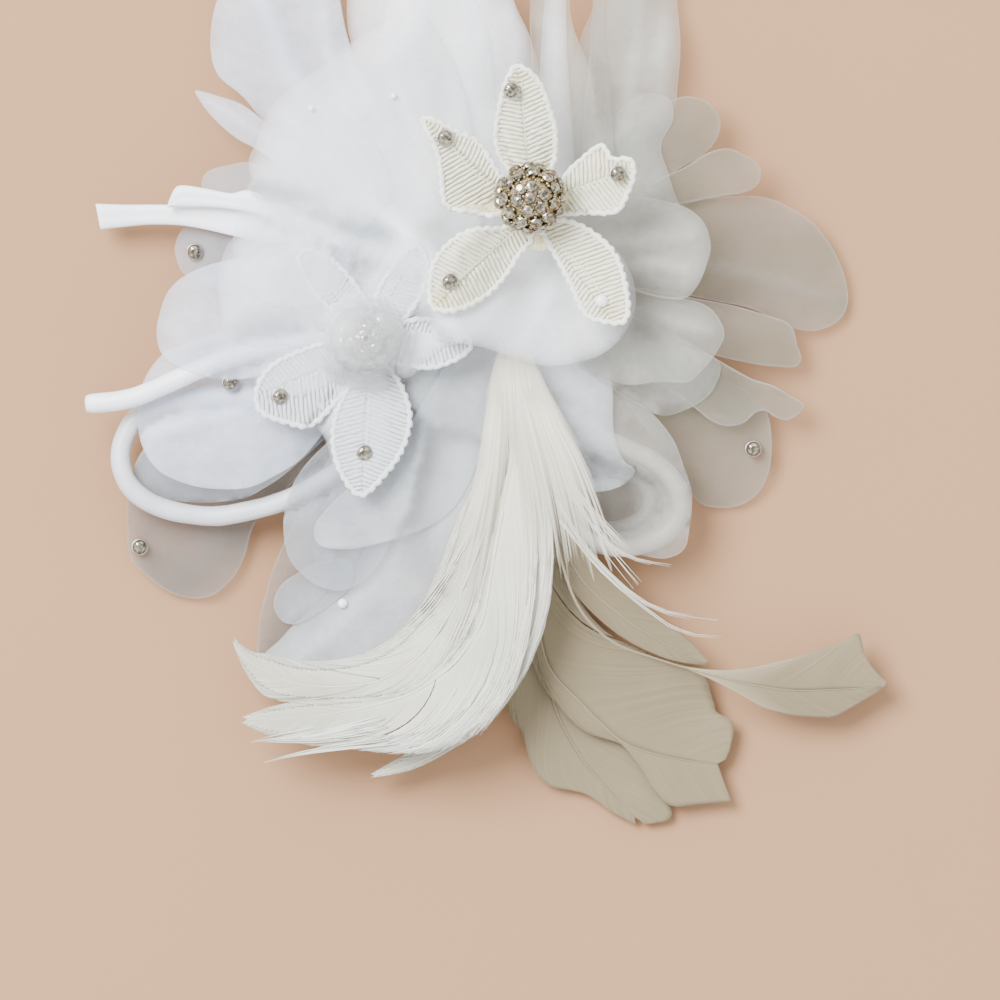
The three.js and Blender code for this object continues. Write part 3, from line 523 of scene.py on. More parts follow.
RIGHT_LOOPS_ROUTE = [
    (16, -24, 15), (22, -27, 14.6), (28, -30.4, 14), (34, -33.2, 13.2), (39.6, -35.8, 12.2),
    (43.6, -39, 11), (46, -43.2, 10), (45.6, -47.4, 9.4), (42.8, -50.8, 9), (38.4, -52.8, 8.8),
    (33.2, -53.4, 8.8), (28, -52.2, 8.8), (23.6, -49.4, 8.8), (21, -45.4, 8.6), (21.4, -41.2, 8.2),
    (24.6, -38, 7.6), (29.2, -36.8, 6.8), (34.4, -37.4, 5.8), (38.4, -39.6, 4.8), (40.4, -43.2, 4),
    (39.4, -47, 3.4), (36, -49.4, 3), (31.6, -50.2, 2.8), (27, -48.8, 2.8), (22.6, -46, 2.8),
    (18.6, -42, 3), (15, -38, 3.4),
]
TUBE_STEP = 0.8 * MM
TUBE_SIDES = 20
TUBE_FILL = 0.97           # the tube's mean radius as a share of its full one
PINCH_DEPTH, PINCH_PACE = 0.05, 0.22


def sew_tubing(name, cloth, route, far_end):
    """Bias tubing along its route, round but for the small pinches where it was turned out."""
    path = smooth_curve(np.array(route) * MM, TUBE_STEP)
    pinch = noise_at([(at * PINCH_PACE, 3.1 * len(route), 0) for at in range(len(path))])
    radius = TUBING / 2 * (TUBE_FILL + PINCH_DEPTH * pinch)
    if far_end == "bare":
        radius[-3:] *= [1.0, 0.97, 0.88]
    shape = Shape()
    shape.strand(path, radius, sides=TUBE_SIDES)
    tube = belongs(shape.piece(name + "_tube", cloth), "satin", name)


sew_tubing("satin_tail_lower", SATIN, TAIL_ROUTE, "bare")
sew_tubing("satin_loop_left", SHADED_SATIN_LEFT, LEFT_LOOP_ROUTE, "object")
sew_tubing("satin_loops_right", SHADED_SATIN_RIGHT, RIGHT_LOOPS_ROUTE, "object")


# Heights: what the solids of the frame hold, and what has been laid so far

LAYING_ORDER = [row["node"] for row in frame["record"]["subparts"]]
CLIP = ("clip_plate", "clip_jaw", "clip_pin", "clip_spring")
CELL = 0.5 * MM
MARGIN = 12 * MM
GRID_LOW = np.array([cad_low.x - MARGIN, cad_low.y - MARGIN])
GRID_SIZE = (int((cad_high.x - cad_low.x + 2 * MARGIN) / CELL) + 2,
             int((cad_high.y - cad_low.y + 2 * MARGIN) / CELL) + 2)
# Triangles between two numbers of cells across are sprinkled with this many cuts of their sides
SPRINKLES = ((-1, 2, 2), (2, 5, 5), (5, 12, 12), (12, math.inf, 30))


def cells_of(places):
    cells = ((places[:, :2] - GRID_LOW) / CELL).astype(int)
    return np.clip(cells[:, 0], 0, GRID_SIZE[0] - 1), np.clip(cells[:, 1], 0, GRID_SIZE[1] - 1)


def corners_of(node):
    mesh = frame["nodes"][node].data
    points = np.empty(len(mesh.vertices) * 3)
    mesh.vertices.foreach_get("co", points)
    mesh.calc_loop_triangles()
    corners = np.empty(len(mesh.loop_triangles) * 3, int)
    mesh.loop_triangles.foreach_get("vertices", corners)
    return points.reshape(-1, 3)[corners].reshape(-1, 3, 3)


def sprinkle(corners):
    """Points spread over triangles, about a cell apart."""
    spread = []
    cells_wide = np.max(np.linalg.norm(corners - np.roll(corners, 1, axis=1), axis=2), axis=1) / CELL
    for above, up_to, cuts in SPRINKLES:
        chosen = corners[(cells_wide > above) & (cells_wide <= up_to)]
        for first in range(cuts + 1):
            for second in range(cuts + 1 - first):
                shares = np.array([first, second, cuts - first - second]) / cuts
                spread.append(np.einsum("k,nkd->nd", shares, chosen))
    return np.vstack(spread)


def widened(heights, pick):
    """Each cell takes the highest, or lowest, of itself and the eight round it."""
    wide = heights.copy()
    for shift_x in (-1, 0, 1):
        for shift_y in (-1, 0, 1):
            wide = pick(wide, np.roll(np.roll(heights, shift_x, axis=0), shift_y, axis=1))
    return wide


class Survey:
    """The highest surface laid so far, and for each node the lowest solid that comes after it."""

    def __init__(self):
        self.laid = np.zeros(GRID_SIZE)
        self.over = {}
        lowest = np.full(GRID_SIZE, np.inf)
        for node in reversed(LAYING_ORDER):
            self.over[node] = widened(lowest, np.minimum)
            if node not in CLIP:
                places = sprinkle(corners_of(node))
                np.minimum.at(lowest, cells_of(places), places[:, 2])

    def lay(self, corners):
        places = sprinkle(corners)
        np.maximum.at(self.laid, cells_of(places), places[:, 2])

    def lay_node(self, node):
        self.lay(corners_of(node))

    def top(self):
        """The laid surface, with each cell as high as its highest neighbour."""
        return widened(self.laid, np.maximum)


survey = Survey()


class Surface:
    """The upper side of a node's solid, whose height can be asked at any place, also beside it."""

    def __init__(self, node, sink=0.0):
        corners = corners_of(node)
        normals = np.cross(corners[:, 1] - corners[:, 0], corners[:, 2] - corners[:, 0])
        normals /= np.maximum(np.linalg.norm(normals, axis=1), 1e-15)[:, None]
        self.upper = corners[normals[:, 2] > 0.05]
        flat = self.upper.reshape(-1, 3) * (1, 1, 0)
        faces = np.arange(len(flat)).reshape(-1, 3)
        self.tree = BVHTree.FromPolygons([Vector(point) for point in flat], faces.tolist())
        self.sink = sink

    def height(self, x, y):
        place, _, face, _ = self.tree.find_nearest(Vector((x, y, 0)))
        a, b, c = (Vector(corner) for corner in self.upper[face])
        flat = [Vector((corner.x, corner.y, 0)) for corner in (a, b, c)]
        return geometry.barycentric_transform(place, *flat, a, b, c).z - self.sink

    def heights(self, places):
        return np.array([self.height(x, y) for x, y in places])


# Sheets of cloth

HEM = 0.4 * MM              # the row of points just inside a rim
HEM_CLEAR = 0.3 * MM
NET_CLEAR = 0.75            # how far the net keeps from the rim, in steps


def inside(places, outline):
    """Which places lie inside a closed outline."""
    x, y = places[:, 0], places[:, 1]
    result = np.zeros(len(places), bool)
    for (x0, y0), (x1, y1) in zip(outline, np.roll(outline, -1, axis=0)):
        if y0 == y1:
            continue
        crosses = (y0 > y) != (y1 > y)
        result ^= crosses & (x < (x1 - x0) * (y - y0) / (y1 - y0) + x0)
    return result


def distance_to(places, outline):
    far = np.full(len(places), np.inf)
    for start in range(0, len(outline), 64):
        part = outline[start:start + 64]
        far = np.minimum(far, np.min(np.linalg.norm(places[:, None] - part[None], axis=2), axis=1))
    return far


def cut_cloth(outline, step):
    """A flat piece of cloth: an even net of triangles inside a smooth outline, finer at its rim."""
    low, high = outline.min(axis=0), outline.max(axis=0)
    rows = []
    for row, y in enumerate(np.arange(low[1], high[1], step * math.sqrt(3) / 2)):
        x = np.arange(low[0] + (row % 2) * step / 2, high[0], step)
        rows.append(np.column_stack([x, np.full(len(x), y)]))
    net = np.vstack(rows)
    net = net[inside(net, outline)]
    net = net[distance_to(net, outline) > NET_CLEAR * step]
    ahead = headings(outline, closed=True)
    after = np.roll(outline, -1, axis=0)
    way = np.sign(np.sum(outline[:, 0] * after[:, 1] - outline[:, 1] * after[:, 0]))
    hem = outline + way * HEM * np.column_stack([-ahead[:, 1], ahead[:, 0]])
    hem = hem[inside(hem, outline)]
    hem = hem[distance_to(hem, outline) > HEM_CLEAR]
    count = len(outline)
    edges = [(at, (at + 1) % count) for at in range(count)]
    points, _, faces, _, _, _ = geometry.delaunay_2d_cdt(
        [Vector(place) for place in np.vstack([outline, hem, net])], edges, [], 1, 1e-7)
    points = np.array([(point.x, point.y) for point in points])
    faces = np.array(faces)
    a, b, c = (points[faces[:, corner]] for corner in range(3))
    doubled = (b[:, 0] - a[:, 0]) * (c[:, 1] - a[:, 1]) - (b[:, 1] - a[:, 1]) * (c[:, 0] - a[:, 0])
    faces[doubled < 0] = faces[doubled < 0][:, ::-1]
    return points, faces[np.abs(doubled) > 1e-14]


def settle(places, heights, faces, ceiling, sweeps):
    """Rests a sheet on what is laid, under what comes later, and evens out its slopes."""
    floor = survey.top()[cells_of(places)] + GAP
    roof = np.maximum(ceiling[cells_of(places)] - GAP, floor)
    heights = np.clip(heights, floor, roof)
    links = np.vstack([faces[:, [0, 1]], faces[:, [1, 2]], faces[:, [2, 0]]])
    links = np.vstack([links, links[:, ::-1]])
    counts = np.bincount(links[:, 0], minlength=len(places))
    for _ in range(sweeps):
        sums = np.bincount(links[:, 0], weights=heights[links[:, 1]], minlength=len(places))
        mean = sums / np.maximum(counts, 1)
        heights = np.clip(0.5 * heights + 0.5 * mean, floor, roof)
    return heights


def solid_sheet(name, places, heights, faces, thickness, material, mapped, values):
    """The laid sheet as a thin closed piece, with its own map of the cloth."""
    made = new_piece(name, np.column_stack([places, heights]), faces.tolist(), material, values)
    mesh = made.data
    cloth = mesh.uv_layers.new(name="cloth")
    corners = np.empty(len(mesh.loops), int)
    mesh.loops.foreach_get("vertex_index", corners)
    cloth.data.foreach_set("uv", mapped[corners].astype(np.float32).ravel())
    take_up(made)
    wall = made.modifiers.new("wall", "SOLIDIFY")
    wall.thickness = thickness
    wall.offset = 0
    bpy.ops.object.modifier_apply(modifier="wall")
    return made


def face_normals(places, heights, faces):
    """Each face's normal, as long as twice its area."""
    points = np.column_stack([places, heights])
    a, b, c = (points[faces[:, corner]] for corner in range(3))
    return np.cross(b - a, c - a)


def steepness(places, heights, faces):
    """How far each point's cloth turns away from lying flat, from 0 to 1: steep folds look denser."""
    normals = face_normals(places, heights, faces)
    sums = np.zeros((len(places), 3))
    for corner in range(3):
        np.add.at(sums, faces[:, corner], normals)
    return 1 - np.abs(sums[:, 2]) / np.maximum(np.linalg.norm(sums, axis=1), 1e-15)


# Petals, from the table upwards, in the order in which they are sewn on. Each outline is in pixels,
# from the root round the petal; the root's middle is its first point. Tone is the petal's copy of the
# organza, with light and shade painted into its colour; fold and flute are the depths in millimetres
# of the folds from the root and of the waves along the rim.
CLOTH = 0.12 * MM
PETALS = {
    "petal_low_left": ("outer", 0.8, 0.9, [
        (358, 362), (300, 368), (245, 392), (182, 424), (146, 450), (132, 478), (127, 510), (128, 545),
        (134, 563), (150, 578), (170, 592), (195, 598), (217, 593), (234, 577), (246, 552), (257, 522),
        (288, 488), (330, 448), (372, 398)]),
    "petal_low_back": ("outer", 0.8, 0.6, [
        (405, 410), (345, 450), (300, 510), (276, 562), (264, 600), (258, 635), (261, 668), (280, 692),
        (310, 700), (345, 685), (372, 640), (400, 560), (420, 470)]),
    "petal_right_low": ("warm", 0.8, 0.9, [
        (560, 312), (575, 298), (640, 335), (705, 368), (752, 396), (768, 415), (771, 445), (769, 470),
        (760, 490), (744, 503), (722, 508), (700, 504), (682, 480), (640, 420), (590, 362), (556, 330)]),
    "petal_top_left": ("white", 2.0, 1.6, [
        (405, 195), (385, 205), (330, 160), (272, 128), (242, 96), (219, 77), (211, 50), (213, 20),
        (221, -10), (236, -43), (262, -66), (290, -71), (317, -58), (333, -30), (341, 5), (350, 45),
        (380, 120), (420, 180)]),
    "petal_top_right": ("soft", 2.2, 1.8, [
        (560, 235), (545, 225), (556, 130), (578, 45), (595, 2), (604, -38), (622, -63), (645, -66),
        (664, -48), (675, -10), (680, 30), (679, 70), (672, 120), (650, 170), (600, 232)]),
    "petal_right_big": ("warm", 0.7, 1.0, [
        (560, 262), (562, 248), (620, 222), (668, 208), (700, 200), (727, 197), (757, 197), (785, 205),
        (808, 219), (826, 240), (840, 265), (847, 290), (846, 309), (835, 323), (816, 331), (797, 329),
        (775, 320), (754, 310), (733, 304), (700, 298), (650, 290), (575, 276)]),
    "petal_right_lobe": ("warm", 0.8, 0.7, [
        (560, 285), (575, 272), (640, 288), (720, 303), (775, 318), (792, 328), (797, 345), (801, 358),
        (795, 367), (776, 366), (742, 362), (700, 350), (640, 322), (570, 300)]),
    "petal_left_stone": ("pale", 0.8, 0.8, [
        (352, 292), (350, 270), (280, 240), (222, 228), (192, 224), (180, 233), (175, 248), (177, 262),
        (183, 274), (200, 283), (232, 292), (290, 305), (346, 312)]),
    "petal_left_point": ("white", 0.8, 0.3, [
        (380, 228), (388, 214), (320, 160), (273, 127), (243, 106), (218, 97), (205, 93), (195, 92),
        (199, 99), (204, 107), (216, 121), (237, 139), (265, 155), (310, 192), (368, 240)]),
    "petal_left_small": ("pale", 0.5, 0.5, [
        (362, 238), (355, 222), (300, 182), (255, 164), (226, 167), (209, 171), (202, 180), (206, 193),
        (236, 202), (300, 218), (350, 252)]),
    "petal_right_small_upper": ("warm", 0.8, 0.8, [
        (555, 216), (548, 203), (602, 150), (652, 112), (676, 98), (692, 97), (708, 103), (718, 115),
        (720, 128), (714, 143), (700, 157), (670, 175), (612, 207), (568, 230)]),
    "petal_right_small_lower": ("warm", 0.8, 0.9, [
        (565, 236), (560, 222), (622, 196), (680, 170), (700, 158), (715, 151), (730, 149), (744, 155),
        (757, 163), (761, 174), (757, 186), (742, 194), (720, 197), (690, 203), (640, 216), (580, 246)]),
    "petal_right_fold": ("warm", 1.2, 0.8, [
        (565, 302), (572, 288), (640, 320), (700, 350), (730, 367), (752, 379), (773, 386), (790, 396),
        (803, 404), (799, 413), (787, 420), (774, 417), (765, 411), (755, 413), (744, 423), (728, 426),
        (712, 421), (690, 405), (640, 370), (566, 318)]),
    "petal_low_wide": ("milk", 0.9, 0.7, [
        (452, 402), (432, 404), (400, 470), (370, 540), (346, 578), (325, 596), (300, 619), (280, 640),
        (263, 656), (268, 674), (290, 690), (322, 697), (360, 696), (398, 684), (430, 640), (462, 560),
        (480, 480), (480, 410)]),
    "petal_low_small": ("pale", 0.5, 0.4, [
        (350, 560), (318, 562), (296, 574), (282, 584), (274, 599), (275, 612), (285, 623), (302, 622),
        (330, 604), (352, 584)]),
    "petal_left_inner": ("pale", 0.7, 0.7, [
        (365, 374), (352, 360), (282, 385), (212, 405), (167, 424), (146, 447), (134, 468), (134, 482),
        (150, 495), (190, 502), (238, 500), (265, 488), (300, 462), (345, 420), (376, 388)]),
    "petal_left_low": ("white", 0.8, 0.7, [
        (358, 352), (346, 334), (280, 330), (216, 335), (171, 350), (149, 372), (139, 400), (139, 430),
        (147, 455), (165, 474), (195, 486), (225, 489), (252, 487), (277, 475), (303, 457), (340, 414),
        (366, 368)]),
    "petal_low_middle": ("pale", 0.8, 0.6, [
        (402, 382), (384, 374), (340, 430), (302, 470), (287, 500), (284, 530), (288, 555), (300, 572),
        (320, 586), (345, 590), (375, 570), (400, 520), (420, 450), (424, 392)]),
    "petal_left_middle": ("white", 0.9, 0.9, [
        (360, 300), (358, 278), (300, 262), (250, 258), (215, 264), (188, 275), (169, 292), (160, 315),
        (158, 338), (165, 357), (190, 372), (232, 380), (292, 370), (346, 345), (368, 320)]),
    "petal_right_veil": ("gauze", 0.9, 0.8, [
        (538, 350), (548, 338), (578, 366), (616, 392), (650, 412), (672, 438), (684, 468), (691, 495),
        (690, 520), (685, 547), (668, 558), (645, 556), (615, 545), (585, 515), (560, 470), (535, 410),
        (520, 366)]),
    "petal_top_back": ("crown", 2.2, 1.6, [
        (450, 224), (412, 226), (374, 150), (354, 60), (347, 10), (352, -30), (375, -60), (408, -70),
        (445, -64), (470, -40), (492, 10), (504, 80), (500, 160), (482, 230)]),
    "petal_centre_low": ("milk", 2.0, 1.8, [
        (502, 300), (468, 300), (430, 330), (402, 368), (405, 398), (425, 417), (450, 426), (478, 434),
        (502, 440), (530, 420), (545, 380), (540, 330), (524, 302)]),
    "petal_centre_low_right": ("milk", 2.0, 1.6, [
        (530, 332), (522, 348), (518, 390), (536, 440), (560, 478), (590, 491), (618, 487), (634, 472),
        (622, 458), (613, 430), (612, 390), (600, 352), (562, 330)]),
    "petal_low_front": ("milk", 1.2, 1.2, [
        (478, 330), (452, 352), (424, 402), (388, 456), (342, 494), (316, 524), (320, 545), (348, 549),
        (384, 542), (424, 529), (458, 503), (482, 450), (500, 390), (504, 344)]),
    "petal_mist": ("mist", 0.6, 0.3, [
        (352, 372), (330, 352), (300, 346), (272, 356), (256, 376), (254, 398), (268, 414), (296, 420),
        (322, 434), (334, 468), (356, 488), (380, 474), (402, 440), (410, 408), (398, 382), (378, 372)]),
    "petal_crown_top": ("crown", 3.2, 2.4, [
        (508, 228), (472, 235), (432, 170), (413, 100), (409, 55), (415, 15), (430, -23), (452, -50),
        (478, -60), (497, -42), (508, -12), (516, 10), (532, 45), (547, 110), (545, 180), (532, 232)]),
    "petal_crown_top_right": ("soft", 3.0, 2.2, [
        (558, 215), (542, 222), (536, 140), (531, 60), (530, 5), (532, -38), (542, -66), (555, -66),
        (565, -42), (568, 0), (573, 28), (590, 80), (596, 150), (582, 218)]),
    "petal_ruffle_right": ("soft", 2.4, 2.2, [
        (560, 236), (566, 214), (584, 168), (612, 120), (640, 96), (668, 98), (673, 120), (661, 145),
        (666, 170), (677, 200), (682, 216), (660, 236), (618, 247), (578, 250)]),
    "petal_ruffle_right_low": ("haze", 1.8, 1.6, [
        (556, 300), (575, 292), (622, 335), (690, 350), (718, 362), (716, 382), (704, 399), (682, 411),
        (662, 416), (640, 406), (612, 390), (576, 362), (552, 322)]),
    "petal_ruffle_top": ("crown", 2.4, 2.6, [
        (470, 240), (446, 240), (420, 180), (398, 110), (384, 50), (388, -4), (404, -42), (428, -58),
        (448, -40), (470, -8), (486, 30), (494, 90), (498, 170), (492, 232)]),
    "petal_ruffle_pleat": ("crown", 2.0, 1.4, [
        (556, 226), (546, 200), (540, 120), (541, 50), (546, -10), (552, -48), (561, -50), (566, -14),
        (566, 40), (570, 100), (574, 160), (570, 216)]),
    "petal_ruffle_pleat_right": ("soft", 1.8, 1.2, [
        (588, 220), (582, 180), (584, 110), (590, 50), (593, 0), (597, -30), (603, -28), (604, 10),
        (606, 60), (612, 120), (612, 180), (604, 222)]),
    "petal_crown_left": ("crown", 3.0, 2.4, [
        (452, 262), (440, 280), (370, 262), (300, 232), (262, 196), (250, 165), (257, 143), (268, 116),
        (285, 95), (306, 79), (345, 50), (375, 30), (400, 15), (425, 22), (452, 62), (472, 130), (482, 220)]),
    "petal_veil": ("veil", 2.2, 1.6, [
        (478, 296), (470, 330), (436, 350), (404, 372), (376, 388), (342, 379), (316, 358), (290, 346),
        (250, 345), (229, 339), (223, 318), (221, 290), (222, 265), (232, 241), (256, 222), (300, 206),
        (360, 216), (430, 250), (476, 276)]),
    "petal_ruffle_left": ("veil", 2.6, 2.6, [
        (330, 302), (280, 308), (246, 288), (234, 245), (242, 200), (264, 166), (300, 142), (345, 129),
        (372, 142), (387, 170), (390, 195), (377, 217), (359, 240), (353, 266)]),
    "petal_inner_right_low": ("haze", 2.4, 2.0, [
        (548, 275), (548, 256), (600, 276), (652, 294), (690, 300), (708, 308), (720, 324), (723, 338),
        (716, 352), (708, 363), (697, 375), (685, 383), (655, 382), (620, 384), (580, 358), (545, 310)]),
    "petal_inner_right": ("haze", 2.4, 2.0, [
        (546, 240), (545, 224), (592, 200), (640, 198), (675, 205), (692, 213), (704, 226), (710, 247),
        (706, 266), (697, 286), (683, 299), (655, 297), (610, 285), (556, 268)]),
    "petal_front_low": ("crown", 2.2, 2.2, [
        (530, 232), (500, 232), (455, 262), (425, 300), (405, 340), (398, 371), (410, 378), (432, 357),
        (452, 345), (480, 347), (510, 358), (545, 366), (580, 362), (606, 352), (625, 332), (634, 305),
        (630, 275), (610, 245), (568, 226)]),
}
# Creases that stand up from a petal, as lines of pixels with a height and a half width in millimetres
CREASES = {
    "petal_crown_top": [([(414, 18), (419, 60), (430, 110), (448, 170)], 1.6, 1.3),
                        ([(512, 8), (515, 57), (520, 110), (522, 170)], 1.5, 1.0),
                        ([(470, -20), (474, 60), (480, 140)], 1.0, 1.6)],
    "petal_ruffle_top": [([(404, 0), (416, 80), (436, 160)], 1.2, 1.2)],
    "petal_crown_top_right": [([(551, -20), (556, 60), (560, 140)], 1.4, 0.9)],
    "petal_crown_left": [([(344, 60), (372, 100), (404, 150), (436, 210)], 1.4, 1.8),
                         ([(290, 120), (330, 160), (380, 210), (430, 250)], 1.3, 1.6),
                         ([(386, 60), (410, 120), (440, 190)], 1.2, 1.5)],
    "petal_ruffle_left": [([(352, 136), (350, 170), (340, 220), (330, 262)], 1.2, 1.1)],
    "petal_veil": [([(298, 250), (299, 268), (300, 286)], 1.5, 0.5),
                   ([(262, 226), (300, 250), (352, 278)], 0.9, 1.2),
                   ([(230, 300), (290, 306), (350, 300)], 0.8, 1.5)],
    "petal_inner_right": [([(690, 236), (650, 240), (600, 244)], 1.2, 1.4),
                          ([(684, 268), (640, 262)], 0.8, 1.0)],
    "petal_inner_right_low": [([(706, 330), (660, 320), (610, 300)], 1.1, 1.3)],
    "petal_front_low": [([(452, 352), (480, 320), (508, 286)], 1.6, 1.5),
                        ([(404, 364), (436, 340), (470, 310)], 1.5, 0.9),
                        ([(520, 350), (536, 320), (550, 290)], 1.2, 1.4)],
    "petal_right_big": [([(835, 300), (780, 280), (700, 262)], 0.6, 1.4)],
    "petal_right_fold": [([(723, 367), (750, 378), (784, 392)], 1.3, 0.8)],
    "petal_top_right": [([(640, -10), (634, 60), (622, 140)], 1.3, 1.4), ([(664, 20), (660, 90)], 0.9, 1.1)],
    "petal_top_left": [([(262, 0), (290, 70), (330, 130)], 1.2, 1.8),
                       ([(322, -10), (330, 60), (356, 120)], 1.0, 1.2)],
    "petal_left_low": [([(150, 432), (200, 420), (262, 400)], 0.9, 1.2)],
    "petal_left_inner": [([(150, 440), (203, 418), (262, 398)], 0.7, 1.2)],
    "petal_left_point": [([(197, 94), (240, 120), (280, 146)], 0.8, 0.7)],
    "petal_centre_low": [([(478, 424), (480, 392), (484, 360)], 1.4, 1.0),
                         ([(425, 410), (450, 370)], 1.0, 1.2)],
    "petal_low_front": [([(319, 546), (379, 541), (424, 528)], 0.9, 0.6)],
    "petal_low_wide": [([(300, 660), (360, 600), (420, 500)], 0.9, 2.0)],
}
GAP = 0.22 * MM
VEILED_BUTTON = (366, 340)
ROOF_OF = {"petal_ruffle_top": "petal_crown_left", "petal_ruffle_pleat": "petal_crown_left",
           "petal_ruffle_pleat_right": "petal_crown_left",
           "petal_low_small": "petal_low_wide", "petal_low_front": "lace_blossom_veiled",
           "petal_ruffle_right": "petal_crown_left", "petal_ruffle_right_low": "petal_crown_left",
           "petal_ruffle_left": "petal_inner_right_low", "petal_mist": "petal_inner_right_low"}
PETAL_NET = 1.1 * MM           # between the points of a petal's cloth
OUTLINE_STEP = 0.7 * MM
SWAY, SWAY_SIZE = 0.25 * MM, 7 * MM
SINK = 0.2 * MM                # the dressed cloth's middle lies this far under its solid's upper side
FOLD_PACE, WRINKLE_PACE = (3.2, 1.3), (9, 2)
WRINKLES = 0.35                # how high wrinkles are, as a share of the folds
WAVE_SIZE, WAVE_REACH, WAVES = 8 * MM, 5 * MM, 1.6
CREASE_STEP = 0.4 * MM
DRAPING = ("veil", "mist", "gauze")      # thin cloths, which hang slack over what is under them
DRAPED, LAID = 70, 8           # sweeps that even out a slack cloth, and any other
RIM_LINE, RIM_FADE = 0.5 * MM, 2.4 * MM
BUTTON_REACH = 6 * MM          # the cloth over the veiled button is thinned this far round it
BUTTON_THIN, BUTTON_SMOOTH = 0.5, 0.8


def fold_cloth(name, fold, flute, places, share, turn, rim_far, seed):
    """What folds, wrinkles, rim waves and creases add to a petal's heights, and where they bunch it."""
    folds = noise_at([(angle * FOLD_PACE[0], part * FOLD_PACE[1], seed) for angle, part in zip(turn, share)])
    wrinkles = noise_at([(angle * WRINKLE_PACE[0], part * WRINKLE_PACE[1], seed + 5)
                         for angle, part in zip(turn, share)])
    waves = noise_at([(*(place / WAVE_SIZE), seed + 9) for place in places])
    near_rim = np.exp(-rim_far / WAVE_REACH)
    spread = np.clip(share * 1.4, 0, 1)
    rise = fold * MM * spread * (folds + WRINKLES * wrinkles) + flute * MM * near_rim * share * waves * WAVES
    ridge = np.zeros(len(places))
    for line, height, half_width in CREASES.get(name, []):
        far = distance_to(places, smooth_curve(plan(line), CREASE_STEP))
        crease = np.exp(-(far / (half_width * MM)) ** 2)
        ridge = np.maximum(ridge, crease)
        rise = rise + height * MM * crease
    bunched = np.clip(1 - share * 2.4, 0, 1) + 0.35 * np.clip(wrinkles * spread, 0, 1) + 0.5 * ridge
    return rise, bunched


def sew_petal(name, tone, fold, flute, pixels):
    outline = smooth_curve(plan(pixels), OUTLINE_STEP, closed=True)
    root = outline[0]
    seed = 7.7 * len(PETALS) + 13.1 * list(PETALS).index(name)
    sway = np.array([noise.noise_vector(Vector((*(place / SWAY_SIZE), seed)))[:2] for place in outline])
    outline = outline + SWAY * sway
    places, faces = cut_cloth(outline, PETAL_NET)
    away = places - root
    reach = np.linalg.norm(away, axis=1)
    main = outline.mean(axis=0) - root
    main_turn = math.atan2(main[1], main[0])
    turn = np.angle(np.exp(1j * (np.arctan2(away[:, 1], away[:, 0]) - main_turn)))
    rim_far = distance_to(places, outline)
    own = name in frame["nodes"]
    if own:
        heights = Surface(name, SINK).heights(places)
    else:
        heights = survey.laid[cells_of(places)] + GAP
    rise, bunched = fold_cloth(name, fold, flute, places, reach / reach.max(), turn, rim_far, seed)
    ceiling = survey.over[name if own else ROOF_OF[name]]
    heights = settle(places, heights + rise, faces, ceiling, DRAPED if tone in DRAPING else LAID)
    off_button = np.linalg.norm(places - plan([VEILED_BUTTON])[0], axis=1)
    over_button = np.exp(-(off_button / BUTTON_REACH) ** 2)
    gather = (bunched + 0.9 * steepness(places, heights, faces)) * (1 - BUTTON_SMOOTH * over_button)
    thin = np.maximum(np.exp(-rim_far / RIM_FADE), BUTTON_THIN * over_button)
    along = np.array([math.cos(main_turn), math.sin(main_turn)])
    aside = np.array([-math.sin(main_turn), math.cos(main_turn)])
    mapped = places @ np.column_stack([along, aside]) / MM
    petal = solid_sheet(name + "_cloth", places, heights, faces, CLOTH, ORGANZA_LIT_AND_SHADED[tone], mapped,
                        {"rim": np.exp(-rim_far / RIM_LINE), "edge": thin, "gather": gather})
    belongs(petal, "organza", *([name] if own else []))
    survey.lay(np.column_stack([places, heights])[faces])


# Feathers

